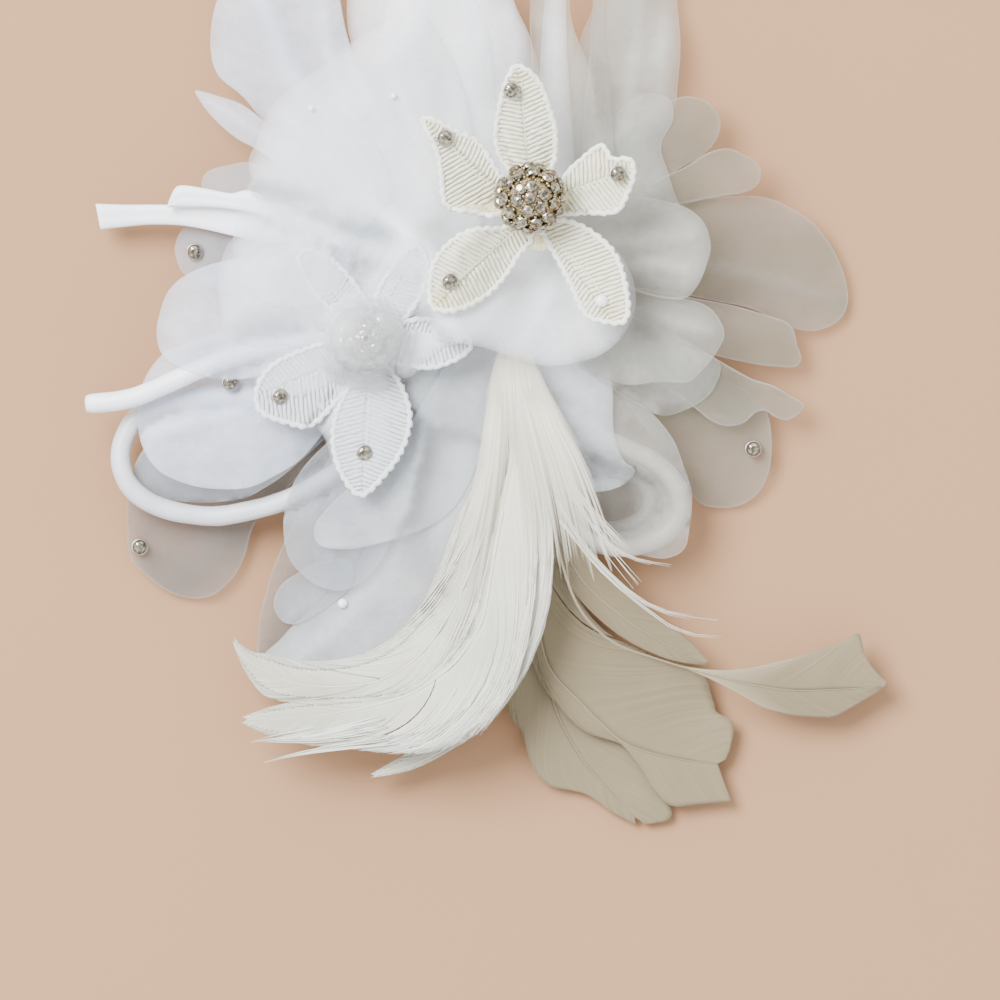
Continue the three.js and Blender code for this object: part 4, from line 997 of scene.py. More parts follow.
FEATHER_PITCH = 0.3 * MM
FEATHERS = {
    "feather_ivory_low": {
        "cloth": SHADED_IVORY_FEATHER, "sweep": 0.42,
        "quill": [(521, 384), (532, 520), (540, 620), (553, 700), (578, 752), (608, 790), (640, 822)],
        "left": [(517, 384), (522, 520), (520, 620), (508, 690), (510, 716), (522, 732), (531, 764),
                 (548, 785), (585, 794), (612, 812), (640, 827)],
        "right": [(525, 384), (545, 520), (572, 620), (610, 700), (640, 755), (660, 790), (671, 808),
                  (668, 820), (640, 825)]},
    "feather_ivory_wide": {
        "cloth": SHADED_IVORY_FEATHER, "sweep": 0.42,
        "quill": [(524, 384), (530, 520), (537, 610), (548, 665), (580, 702), (602, 724), (625, 743),
                  (660, 755), (700, 762), (725, 764)],
        "left": [(520, 384), (522, 520), (524, 620), (540, 680), (580, 728), (622, 745), (640, 768),
                 (656, 792), (672, 806), (700, 804), (737, 801)],
        "right": [(528, 384), (545, 510), (566, 575), (600, 626), (650, 654), (700, 672), (713, 700),
                  (717, 712), (733, 722), (731, 745), (724, 763)],
        "slits": [0.3]},
    "feather_ivory_narrow": {
        "cloth": SHADED_IVORY_FEATHER, "sweep": 0.4,
        "quill": [(526, 384), (548, 500), (575, 570), (620, 615), (668, 645), (711, 665)],
        "left": [(522, 384), (540, 505), (566, 580), (612, 630), (665, 658), (711, 666)],
        "right": [(530, 384), (560, 500), (592, 555), (640, 602), (688, 640), (711, 664)]},
    "feather_stripped": {
        "cloth": SHADED_IVORY_FEATHER, "sweep": 0.32, "bare": 0.6,
        "quill": [(528, 384), (552, 520), (575, 600), (610, 640), (655, 658), (705, 673), (745, 683),
                  (790, 690), (840, 689), (888, 686)],
        "left": [(705, 674), (730, 690), (760, 706), (792, 715), (820, 717), (836, 716), (862, 701),
                 (889, 685)],
        "right": [(705, 671), (740, 668), (770, 663), (802, 655), (840, 642), (858, 633), (864, 652),
                  (873, 668), (888, 684)]},
    "feather_white_fold": {
        "cloth": WHITE_FEATHER, "sweep": 0.6, "ragged": 0.01,
        "quill": [(514, 344), (500, 450), (486, 500), (466, 555), (446, 606), (424, 655), (398, 696)],
        "left": [(511, 344), (483, 445), (470, 480), (457, 510), (445, 549), (431, 584), (415, 618),
                 (404, 661), (397, 697)],
        "right": [(517, 344), (519, 460), (508, 520), (494, 580), (474, 630), (440, 674), (398, 698)]},
    "feather_white_left": {
        "cloth": WHITE_FEATHER, "sweep": 0.55, "ragged": 0.01,
        "quill": [(515, 344), (500, 470), (482, 540), (456, 602), (424, 650), (385, 678), (340, 686),
                  (298, 683), (264, 670), (242, 654), (231, 635)],
        "left": [(518, 344), (516, 470), (508, 540), (494, 602), (464, 656), (424, 696), (370, 703),
                 (310, 703), (268, 697), (245, 670), (231, 636)],
        "right": [(512, 344), (486, 470), (464, 532), (434, 585), (402, 628), (366, 652), (330, 660),
                  (298, 660), (270, 654), (250, 650), (232, 635)],
        "slits": [0.7]},
    "feather_white_low": {
        "cloth": WHITE_FEATHER, "sweep": 0.6, "ragged": 0.01,
        "quill": [(517, 344), (538, 470), (545, 540), (538, 610), (516, 670), (480, 722), (442, 750),
                  (405, 767), (367, 777)],
        "left": [(520, 344), (548, 470), (556, 540), (550, 610), (528, 668), (492, 720), (450, 750),
                 (410, 770), (367, 778)],
        "right": [(514, 344), (528, 470), (532, 540), (518, 610), (490, 668), (452, 716), (424, 744),
                  (398, 758), (367, 776)]},
    "feather_white_main": {
        "cloth": WHITE_FEATHER, "sweep": 0.6, "ragged": 0.012,
        "quill": [(517, 344), (514, 450), (505, 500), (498, 535), (493, 564), (484, 614), (474, 636),
                  (456, 661), (434, 679), (404, 696), (350, 710), (292, 717), (239, 719)],
        "left": [(520, 344), (548, 450), (560, 500), (562, 555), (551, 606), (539, 645), (520, 688),
                 (496, 717), (460, 741), (428, 752), (390, 752), (349, 748), (300, 743), (262, 732),
                 (238, 720)],
        "right": [(514, 344), (505, 450), (496, 500), (488, 545), (478, 592), (464, 630), (440, 664),
                  (404, 692), (350, 698), (306, 700), (272, 706), (239, 718)],
        "slits": [0.62],
        "tufts": [([(494, 342), (486, 400), (478, 450), (464, 506), (446, 556), (432, 596)],
                   [(508, 342), (508, 410), (506, 470), (500, 540), (492, 606)], 110),
                  ([(512, 342), (526, 410), (542, 470), (552, 536), (558, 606)],
                   [(530, 342), (560, 410), (590, 460), (618, 520), (634, 556)], 140),
                  ([(500, 342), (500, 400), (504, 460), (508, 530), (510, 600)],
                   [(528, 342), (546, 400), (568, 450), (590, 510), (602, 566)], 130),
                  ([(493, 342), (486, 396), (480, 430), (472, 476)],
                   [(531, 342), (548, 396), (566, 430), (592, 476)], 130)],
        "wisps": [([(560, 470), (585, 505), (606, 545), (638, 584)], 8, 0.9, 0.1),
                  ([(566, 480), (592, 512), (612, 534), (632, 556)], 12, 1.6, 0.09),
                  ([(556, 500), (586, 548), (630, 592), (667, 612), (717, 620)], 5, 0.6, 0.1),
                  ([(560, 520), (600, 570), (650, 612), (683, 632), (720, 637)], 5, 0.5, 0.1),
                  ([(566, 490), (600, 536), (622, 554), (648, 563), (670, 567)], 4, 0.4, 0.1),
                  ([(390, 722), (330, 734), (290, 738), (251, 741)], 60, -2.0, 0.2),
                  ([(400, 738), (340, 746), (300, 753), (263, 762)], 26, -1.2, 0.14)]},
}
VANE_COLUMNS = 12              # points along a barb of a vane
VANE_END = 0.985               # the last barb's place along the quill
QUILL_STEP = 0.5 * MM
FEATHER_SINK = 0.25 * MM
FEATHER_ABOVE, FEATHER_BELOW = 0.1 * MM, 0.25 * MM
VANE_THICKNESS, TUFT_THICKNESS = 0.1 * MM, 0.06 * MM
LOOSE_BARB_EVERY = 5
LOOSE_BARB = 0.14 * MM * np.array([1, 1, 0.9, 0.6, 0.15])
TUFT_COLUMNS = 18
TUFT_SHEER_ROOT = 0.34         # the tufts come out of sheer down over this share of their length
WISP_POINTS = 9
COURSE_STEP = 0.8 * MM
QUILL_POINTS = 60


def barb(shape, path, half_width, thickness, value):
    """One loose barb: a thin closed three-sided blade with its ridge up."""
    count = len(path)
    ahead = headings(path)
    side = np.column_stack([-ahead[:, 1], ahead[:, 0], np.zeros(count)])
    side /= np.maximum(np.linalg.norm(side, axis=1), 1e-9)[:, None]
    wide = half_width[:, None] * side
    ridge = path + np.array([0, 0, thickness])
    points = np.stack([path - wide, path + wide, ridge], axis=1).reshape(-1, 3)
    faces = []
    for ring in range(count - 1):
        here, after = 3 * ring, 3 * (ring + 1)
        for corner, nearby in ((0, 1), (1, 2), (2, 0)):
            faces.append((here + corner, here + nearby, after + nearby, after + corner))
    faces.append((2, 1, 0))
    faces.append((count * 3 - 3, count * 3 - 2, count * 3 - 1))
    shape.add(points, faces, value)


def web(shape, barbs, values, thickness):
    """Barbs that cling together: a thin closed sheet whose rows are the barbs. Gives 1, or -1 where each
    barb had to be taken from its tip for the sheet to face up."""
    first, second = barbs[0, 1] - barbs[0, 0], barbs[1, 0] - barbs[0, 0]
    for row in range(1, len(barbs) - 1):
        first = first + barbs[row, 1] - barbs[row, 0]
        second = second + barbs[row + 1, 0] - barbs[row, 0]
    way = -1 if first[0] * second[1] - first[1] * second[0] < 0 else 1
    barbs, values = barbs[:, ::way], values[:, ::way]
    rows, columns = values.shape
    upper = barbs.reshape(-1, 3)
    under = len(upper)
    faces = []
    for row in range(rows - 1):
        for column in range(columns - 1):
            a = row * columns + column
            b, c, d = a + 1, a + columns + 1, a + columns
            faces += [(a, b, c, d), (under + d, under + c, under + b, under + a)]
        a = row * columns
        b = a + columns
        c, d = a + columns - 1, b + columns - 1
        faces += [(a, b, under + b, under + a), (d, c, under + c, under + d)]
    for column in range(columns - 1):
        a = (rows - 1) * columns + column
        faces.append((column + 1, column, under + column, under + column + 1))
        faces.append((a, a + 1, under + a + 1, under + a))
    shape.add(np.vstack([upper, upper - np.array([0, 0, thickness])]), faces, np.tile(values.ravel(), 2))
    return way


def evened(rows, reach):
    """Each column of a table, with every value the mean of its neighbours along the column."""
    padded = np.pad(rows, ((reach, reach), (0, 0)), mode="edge")
    return np.mean([padded[at:at + len(rows)] for at in range(2 * reach + 1)], axis=0)


class Feather:
    """A feather in the making. Down and sheer are told for each point: how beige it is, how see-through."""

    def __init__(self, name, made):
        self.name, self.made = name, made
        self.white = made["cloth"] is WHITE_FEATHER
        self.solid = Surface(name, FEATHER_SINK)
        self.quill = smooth_curve(plan(made["quill"]), QUILL_STEP)
        self.laid, self.ceiling = survey.top(), survey.over[name]
        self.shape, self.down, self.sheer = Shape(), [], {}

    def between(self, flat, heights):
        """Heights kept above what is laid and below what comes later."""
        floor = self.laid[cells_of(flat)] + FEATHER_ABOVE
        return np.clip(heights, floor, np.maximum(self.ceiling[cells_of(flat)] - FEATHER_BELOW, floor))

    def sew_vane(self, side, edge_pixels):
        """The clinging barbs on one side, 1 being the left, parted at the slits."""
        made = self.made
        bare, ragged = made.get("bare", 0.0), made.get("ragged", 0.004)
        edge = smooth_curve(plan(edge_pixels), QUILL_STEP)
        count = int((1 - bare) * length_of(self.quill) / FEATHER_PITCH)
        shares = np.linspace(0, VANE_END, count)
        across = np.linspace(0, 1, VANE_COLUMNS)
        streak = noise_at([(at * 0.16, side * 5.0, len(self.name)) for at in range(count)])
        fine = np.array([rng.gauss(0, 1) for _ in range(count)])
        off_slit = np.array([min((share - slit - 0.013 * side for slit in made.get("slits", [2])), key=abs)
                             for share in shares])
        pull = 0.005 * streak + np.copysign(0.005 * np.exp(-np.abs(off_slit) / 0.03), off_slit)
        lean = made["sweep"] * (1 - shares)[:, None] * across ** 1.25
        stations = np.clip(shares[:, None] + lean + pull[:, None] * across ** 2, 0, 0.998)
        reach = 1 - ragged * np.abs(fine) - 0.03 * np.exp(-np.abs(off_slit) / 0.008)
        weight = (across * reach[:, None]).reshape(-1, 1)
        flat = (along_curve(self.quill, bare + (1 - bare) * stations.ravel()) * (1 - weight)
                + along_curve(edge, stations.ravel()) * weight)
        table = evened(self.between(flat, self.solid.heights(flat)).reshape(count, -1), 5)
        arch = 0.5 * (1 - across ** 2) + (0.07 * streak + 0.012 * fine)[:, None] * np.sin(across * 2.6)
        table = table + MM * arch
        barbs = np.column_stack([flat, self.between(flat, table.ravel())]).reshape(count, -1, 3)
        # Tones pick between the feather's shade and vane colours, streaked along the barbs. On white feathers
        # they fall towards the tips: painted shade.
        tones = 0.5 + (0.34 * streak + 0.05 * fine)[:, None] * np.sqrt(across) + 0.1 * (across - 0.4)
        tones = tones - 0.85 * np.maximum(0, shares - 0.5)[:, None] * self.white
        fluff = np.maximum(0, 1 - 2.2 * shares[:, None] - 0.4 * across)
        parts = [0] + [at for at in range(1, count) if off_slit[at - 1] < 0 <= off_slit[at]] + [count]
        for start, end in zip(parts[:-1], parts[1:]):
            if end - start > 2:
                way = web(self.shape, barbs[start:end], tones[start:end], VANE_THICKNESS)
                self.down.append(np.tile(fluff[start:end, ::way].ravel(), 2))
        if self.white:
            self.loosen(barbs, tones, fluff)

    def loosen(self, barbs, tones, fluff):
        """The ends of a few barbs, a little longer than the rest and lying over them."""
        for at in range(2, len(barbs) - 2, LOOSE_BARB_EVERY):
            loose = barbs[at, -len(LOOSE_BARB):] + np.array([0, 0, 0.03 * MM])
            loose[-1] += (loose[-1] - loose[-2]) * 0.3 * rng.random()
            barb(self.shape, loose, LOOSE_BARB, 0.02 * MM, tones[at, -1])
            self.down.append(np.full(3 * len(loose), fluff[at, -1]))

    def sew_tuft(self, first, last, strands):
        """Long silky barbs between two lines of pixels, sheer at their roots, at their tips and beside."""
        left, right = smooth_curve(plan(first), COURSE_STEP), smooth_curve(plan(last), COURSE_STEP)
        across = np.linspace(0, 1, TUFT_COLUMNS)
        rows, tones, thin = [], [], []
        for at in range(strands):
            share = at / (strands - 1)
            wave = noise.noise(Vector((at * 0.16, strands * 0.37, 2.0)))
            reach = min(1.0, 0.92 + 0.16 * wave + 0.02 * rng.gauss(0, 1))
            swing = 0.03 * noise.noise(Vector((at * 0.07, strands, 7.0))) * across
            mixed = np.clip(share + swing, 0, 1)[:, None]
            line = (along_curve(left, across * reach) * (1 - mixed)
                    + along_curve(right, across * reach) * mixed)
            lift = 0.35 + 0.3 * math.sin(math.pi * share) + 0.1 * wave
            thin.append(np.clip((across - 0.35 + 0.12 * rng.gauss(0, 1)) / 0.6, 0, 1)
                        + np.clip(1 - (across + 0.06 * wave) / TUFT_SHEER_ROOT, 0, 1)
                        + abs(2 * share - 1) ** 3.5)
            height = self.between(line, self.solid.heights(line) + lift * MM * np.minimum(1, 5 * across))
            rows.append(np.column_stack([line, height]))
            tones.append(0.55 + 0.3 * wave * np.sqrt(across) + 0.05 * rng.gauss(0, 1))
        table = np.array(rows)
        table[:, :, 2] = evened(table[:, :, 2], 3)
        begin = self.shape.count
        way = web(self.shape, table, np.array(tones), TUFT_THICKNESS)
        self.sheer[begin] = np.tile(np.array(thin)[:, ::way].ravel(), 2)
        self.down.append(np.tile(1 - 0.6 * across[::way], 2 * strands))

    def sew_wisps(self, pixels, count, spread, thick):
        """Loose barbs along a course of pixels. A spread below zero gives those that close in at a tip."""
        course = smooth_curve(plan(pixels), COURSE_STEP)
        part = np.linspace(0, 1, WISP_POINTS)
        tip = spread < 0
        for _ in range(count):
            start = 0.5 * rng.random() if tip else 0.0
            line = along_curve(course, np.linspace(start, min(0.8 + 0.22 * rng.random(), 1), WISP_POINTS))
            ahead = headings(line)
            aside = np.column_stack([-ahead[:, 1], ahead[:, 0]])
            fan = (1 - start - (1 - start) * part) ** 0.8 if tip else 0.4 + 0.6 * part
            stray = (abs(spread) * MM * rng.gauss(0, 0.5) * fan
                     + 0.1 * MM * rng.gauss(0, 1) * np.sin(part * 5 + rng.random() * 6))
            line = line + aside * stray[:, None]
            height = self.between(line, self.solid.heights(line) + (0.4 + 0.2 * rng.random()) * MM)
            height = np.convolve(np.pad(height, 1, mode="edge"), [0.25, 0.5, 0.25], mode="valid")
            width = thick * MM * (np.sin(math.pi * np.clip(part + 0.15, 0, 1)) if tip else 1 - 0.8 * part)
            barb(self.shape, np.column_stack([line, height]), width + 0.02 * MM, 0.04 * MM,
                 0.55 + 0.2 * rng.gauss(0, 1))
            self.down.append(np.full(3 * WISP_POINTS, 0.0 if tip else 0.4 + 0.4 * rng.random()))

    def sew_quill(self):
        before = self.shape.count
        route = along_curve(self.quill, np.linspace(0.3 if self.white else 0, VANE_END, QUILL_POINTS))
        heights = evened(self.between(route, self.solid.heights(route))[:, None], 3)[:, 0] + 0.5 * MM
        thick = (0.3 if self.white else 0.36) * MM * (1 - 0.8 * np.linspace(0, 1, QUILL_POINTS))
        self.shape.strand(np.column_stack([route, heights]), thick, value=0.75)
        self.down.append(np.full(self.shape.count - before, 0.2))

    def finish(self):
        piece = self.shape.piece(self.name + "_barbs", self.made["cloth"], attribute="barb")
        sheer = np.zeros(self.shape.count)
        for begin, values in self.sheer.items():
            sheer[begin:begin + len(values)] = values
        put_values(piece.data, "down", np.concatenate(self.down))
        put_values(piece.data, "sheer", sheer)
        belongs(piece, "white_feather" if self.white else "ivory_feather", self.name)
        survey.lay_node(self.name)


def sew_feather(name, made):
    """Two vanes of clinging barbs, then tufts, loose barbs and the quill."""
    feather_in_hand = Feather(name, made)
    for side, label in ((1, "left"), (-1, "right")):
        feather_in_hand.sew_vane(side, made[label])
    for tuft in made.get("tufts", []):
        feather_in_hand.sew_tuft(*tuft)
    for wisps in made.get("wisps", []):
        feather_in_hand.sew_wisps(*wisps)
    feather_in_hand.sew_quill()
    feather_in_hand.finish()


# Lace blossoms: five corded petals round a button

FRONT_PETALS = {
    "top": ([(530, 182), (504, 165), (496, 135), (504, 91), (511, 75), (517, 69), (531, 76), (542, 91),
             (551, 117), (555, 135), (552, 169)], (517, 69)),
    "left_up": ([(510, 198), (495, 170), (477, 144), (456, 134), (433, 122), (424, 121), (426, 130),
                 (438, 155), (442, 180), (447, 207), (474, 214), (497, 216)], (424, 121)),
    "left_low": ([(524, 222), (501, 230), (474, 232), (451, 244), (433, 269), (431, 303), (442, 312),
                  (463, 309), (486, 296), (504, 278), (519, 255), (531, 240)], (436, 308)),
    "right_low": ([(538, 224), (547, 242), (567, 278), (583, 312), (597, 321), (622, 323), (627, 305),
                   (620, 269), (608, 248), (585, 230), (562, 222)], (612, 322)),
    "right_up": ([(552, 198), (561, 187), (567, 175), (583, 160), (601, 148), (611, 161), (629, 162),
                  (633, 176), (627, 194), (615, 213), (586, 214), (562, 214)], (630, 170)),
}
WEB_PIXELS = [(505, 200), (508, 222), (518, 240), (530, 250), (546, 251), (557, 238), (561, 218), (556, 196)]
VEILED_PETALS = {
    "left": ([(362, 352), (330, 344), (288, 358), (268, 372), (258, 392), (262, 412), (286, 422),
              (312, 425), (340, 398), (364, 372)], (258, 396)),
    "low": ([(370, 344), (350, 385), (336, 420), (335, 452), (346, 480), (362, 495), (382, 478),
             (402, 450), (410, 418), (402, 388), (384, 362)], (362, 495)),
    "right": ([(380, 340), (408, 322), (438, 322), (464, 334), (470, 348), (452, 362), (424, 368),
               (386, 358)], (470, 346)),
    "right_up": ([(372, 330), (376, 300), (392, 270), (412, 250), (424, 252), (428, 272), (418, 302),
                  (392, 330)], (420, 250)),
    "left_up": ([(356, 326), (334, 312), (312, 288), (300, 262), (306, 252), (324, 256), (350, 278),
                 (370, 312)], (302, 252)),
}
THREAD_LEAN = 0.32             # how far the cross threads lean towards the tip, as a slope
THREAD_RADIUS, CORD_RADIUS, MIDLINE_RADIUS = 0.38 * MM, 0.52 * MM, 0.24 * MM
THREAD_POINTS = 9
LACE_STEP = 0.4 * MM
LACE_NET_STEP = 0.9 * MM
NET_THICKNESS = 0.12 * MM


def span_across(outline, start, heading):
    """How far a line from start meets the outline ahead of it."""
    nearest = None
    for a, b in zip(outline, np.roll(outline, -1, axis=0)):
        edge = b - a
        cross = heading[0] * edge[1] - heading[1] * edge[0]
        if abs(cross) < 1e-15:
            continue
        off = a - start
        ahead = (off[0] * edge[1] - off[1] * edge[0]) / cross
        share = (off[0] * heading[1] - off[1] * heading[0]) / cross
        if 0 <= share <= 1 and ahead > 0 and (nearest is None or ahead < nearest):
            nearest = ahead
    return nearest


class LacePetal:
    """One lace petal: its outline, and the line from its root to its tip."""

    def __init__(self, pixels, tip, solid, stained):
        self.outline = smooth_curve(plan(pixels), LACE_STEP, closed=True)
        self.root = self.outline[0]
        axis = plan([tip])[0] - self.root
        self.length = np.linalg.norm(axis)
        self.axis = axis / self.length
        self.side = np.array([-self.axis[1], self.axis[0]])
        self.solid, self.stained = solid, stained

    def sew_border(self, border):
        """The thick cord round the petal, scalloped, wrapped and a little fuzzy."""
        outline = self.outline
        heights = self.solid.heights(outline)
        lengths = np.cumsum(np.linalg.norm(np.roll(outline, -1, axis=0) - outline, axis=1))
        scallop = np.sin(2 * math.pi * lengths / (1.9 * MM))
        wrap = np.sin(2 * math.pi * lengths / (0.8 * MM))
        ahead = headings(outline, closed=True)
        outward = np.column_stack([ahead[:, 1], -ahead[:, 0]])
        fuzz = np.array([0.1 * rng.gauss(0, 1) for _ in outline])
        border.strand(np.column_stack([outline + 0.16 * MM * scallop[:, None] * outward, heights + 0.2 * MM]),
                      CORD_RADIUS * (1 + 0.08 * scallop + 0.1 * wrap + fuzz), sides=8, closed=True, flat=0.85,
                      value=0.1 if self.stained else 0.0)

    def sew_cross_threads(self, threads):
        """Slanting threads from the midline to the border, on both sides, stained at root and tip."""
        for step in range(2, int(self.length / (LACE_PITCH * MM)) + 3):
            for way in (1, -1):
                along = step * LACE_PITCH * MM
                start = self.root + self.axis * along
                lean = way * self.side + THREAD_LEAN * self.axis
                if not inside(start[None], self.outline)[0]:
                    start = start + 1.5 * MM * lean
                if not inside(start[None], self.outline)[0]:
                    continue
                reach = span_across(self.outline, start, lean)
                if reach is not None:
                    self.sew_cross_thread(threads, start, lean, reach, step, way)

    def sew_cross_thread(self, threads, start, lean, reach, step, way):
        spread = np.linspace(0, reach, THREAD_POINTS)
        wander = 0.07 * MM * np.sin(spread / (0.6 * MM) + step * 1.9 + way)
        line = start + spread[:, None] * lean + wander[:, None] * self.axis
        height = self.solid.heights(line) + 0.1 * MM + 0.07 * MM * (step % 2)
        along = step * LACE_PITCH * MM
        stain = 0.0
        if self.stained:
            stain = (0.2 + 0.75 * math.exp(-along / (2.6 * MM))
                     + 0.75 * math.exp(-abs(self.length - along - 2.6 * MM) / (1.8 * MM)))
        fade = np.clip(1 - spread / (0.75 * reach), 0, 1)
        thick = THREAD_RADIUS * np.array([1 + 0.16 * rng.gauss(0, 1) for _ in spread])
        threads.strand(np.column_stack([line, height]), thick, sides=5, flat=0.8,
                       value=stain * (0.35 + 0.65 * fade))

    def sew_midline(self, threads):
        line = []
        for share in np.linspace(0.06, 0.84, 30):
            start = self.root + self.axis * (share * self.length)
            left = span_across(self.outline, start, self.side) or 0.0
            right = span_across(self.outline, start, -self.side) or 0.0
            line.append(start + self.side * (left - right) / 2 * share)
        line = np.array(line)
        threads.strand(np.column_stack([line, self.solid.heights(line) + 0.2 * MM]), MIDLINE_RADIUS, sides=5,
                       value=0.62 * self.stained)

    def cut_net(self):
        """The petal's net, with its map along the threads."""
        places, faces = cut_cloth(self.outline, LACE_NET_STEP)
        off = (places - self.root) / MM
        across = off @ self.side
        return places, faces, np.column_stack([off @ self.axis - THREAD_LEAN * np.abs(across), across])


def crochet(blossom, petals, cloth, cord_cloth, net_cloth, stained):
    """The petals' net, their cross threads, midlines and thick scalloped border."""
    solid = Surface(blossom)
    threads, border = Shape(), Shape()
    nets = []
    for pixels, tip in petals.values():
        petal = LacePetal(pixels, tip, solid, stained)
        petal.sew_border(border)
        petal.sew_cross_threads(threads)
        petal.sew_midline(threads)
        nets.append(petal.cut_net())
    if stained:
        places, faces = cut_cloth(smooth_curve(plan(WEB_PIXELS), LACE_STEP, closed=True), LACE_NET_STEP)
        nets.append((places, faces, places / MM))
    starts = np.cumsum([0] + [len(places) for places, _, _ in nets])
    places = np.vstack([net[0] for net in nets])
    faces = np.vstack([net[1] + start for net, start in zip(nets, starts)])
    heights = solid.heights(places) - 0.1 * MM
    net = solid_sheet(blossom + "_net", places, heights, faces, NET_THICKNESS, net_cloth,
                      np.vstack([net[2] for net in nets]), {})
    belongs(net, "lace", blossom)
    thread_piece = belongs(threads.piece(blossom + "_threads", cloth, attribute="stain"), "lace")
    border_piece = belongs(border.piece(blossom + "_border", cord_cloth, attribute="stain"), "lace")
    survey.lay_node(blossom)


# Stones and buttons: each kind is modelled once and copied

RIM_SEAT, STONE_SEAT = 0.32 * MM, 0.62 * MM      # a rhinestone's rim and girdle above what it sits on
BUTTON_RADIUS = 7.2 * MM
DOME_SHARE = 0.88              # the setting's radius as a share of the button's, stones and all
BUTTON_RINGS = [(0.0, 1), (0.42, 6), (0.83, 11), (1.24, 15)]      # each ring's tilt and its stones
BUTTON_SPIN = 0.2
BUTTON_SKIRT = 1 * MM
CLAWS, CLAW_REACH, CLAW_LIFT = 5, 1.32 * MM, 0.3 * MM
PEARL_FLAT = 0.8               # a pearl's height as a share of a round one's
UP = (0, 0, 1)


def start_piece():
    if bpy.context.object and bpy.context.object.mode != "OBJECT":
        bpy.ops.object.mode_set(mode="OBJECT")
    bpy.ops.object.select_all(action="DESELECT")


def edit_all():
    """Opens the piece in hand for editing, with all of it selected."""
    bpy.ops.object.mode_set(mode="EDIT")
    bpy.ops.mesh.select_all(action="SELECT")


def pick_faces(chosen):
    """Selects the faces of the piece in hand whose normal the rule picks."""
    bpy.ops.mesh.select_mode(type="FACE")
    bpy.ops.mesh.select_all(action="DESELECT")
    bpy.ops.object.mode_set(mode="OBJECT")
    for face in bpy.context.object.data.polygons:
        face.select = bool(chosen(face.normal))
    bpy.ops.object.mode_set(mode="EDIT")


def finish_piece(name, material, angle):
    """Closes the piece in hand, smooths it but for the edges past an angle, and gives it its finish."""
    bpy.ops.object.mode_set(mode="OBJECT")
    bpy.ops.object.shade_smooth_by_angle(angle=math.radians(angle))
    made = bpy.context.object
    made.name = name
    made.data.materials.append(material)
    return made


def pull_facets(rise, size, turn=0.0):
    """Extrudes the picked faces by a rise, to a size, with a turn."""
    bpy.ops.mesh.extrude_region_move(TRANSFORM_OT_translate={"value": (0, 0, rise)})
    bpy.ops.transform.resize(value=(size, size, 1))
    if turn:
        bpy.ops.transform.rotate(value=turn, orient_axis="Z", center_override=(0, 0, 0))


def cut_stone(radius, sides=8):
    """A brilliant: a girdle, a crown of facets up to a flat table, and a shallow pavilion."""
    start_piece()
    bpy.ops.mesh.primitive_cylinder_add(vertices=sides, radius=radius, depth=0.16 * radius,
                                        end_fill_type="NGON")
    bpy.ops.object.mode_set(mode="EDIT")
    pick_faces(lambda normal: normal.z > 0.9)
    pull_facets(0.3 * radius, 0.78, math.pi / sides)
    pull_facets(0.16 * radius, 0.58, math.pi / sides)
    pick_faces(lambda normal: normal.z < -0.9)
    pull_facets(-0.35 * radius, 0.5)
    bpy.ops.mesh.select_all(action="SELECT")
    bpy.ops.mesh.quads_convert_to_tris()
    bpy.ops.object.mode_set(mode="OBJECT")


def pattern_in_hand():
    """The points and faces of the piece in hand, which is then taken away."""
    piece = bpy.context.object
    mesh = piece.data
    points = np.empty(len(mesh.vertices) * 3)
    mesh.vertices.foreach_get("co", points)
    faces = [tuple(face.vertices) for face in mesh.polygons]
    bpy.data.objects.remove(piece)
    bpy.data.meshes.remove(mesh)
    return points.reshape(-1, 3), faces


def place_copies(shape, pattern, places):
    """Copies of a pattern into a shape: each place is a middle, an outward direction and a spin."""
    points, faces = pattern
    lying = Vector((1, 0, 0)).to_track_quat("X", "Z").to_matrix()
    for middle, outward, spin in places:
        turned = np.array(Vector(outward).normalized().to_track_quat("Z", "Y").to_matrix() @ lying)
        cosine, sine = math.cos(spin), math.sin(spin)
        spun = np.array([[cosine, -sine, 0], [sine, cosine, 0], [0, 0, 1]])
        shape.add((turned @ spun @ points.T).T + np.array(middle), faces)


cut_stone(1.38 * MM)
BUTTON_STONE = pattern_in_hand()
cut_stone(1.45 * MM, 12)
RHINESTONE = pattern_in_hand()
start_piece()
bpy.ops.mesh.primitive_ico_sphere_add(subdivisions=2, radius=0.33 * MM)
CLAW = pattern_in_hand()
start_piece()
bpy.ops.mesh.primitive_torus_add(major_radius=1.5 * MM, minor_radius=0.2 * MM, major_segments=28,
                                 minor_segments=8)
RHINESTONE_RIM = pattern_in_hand()


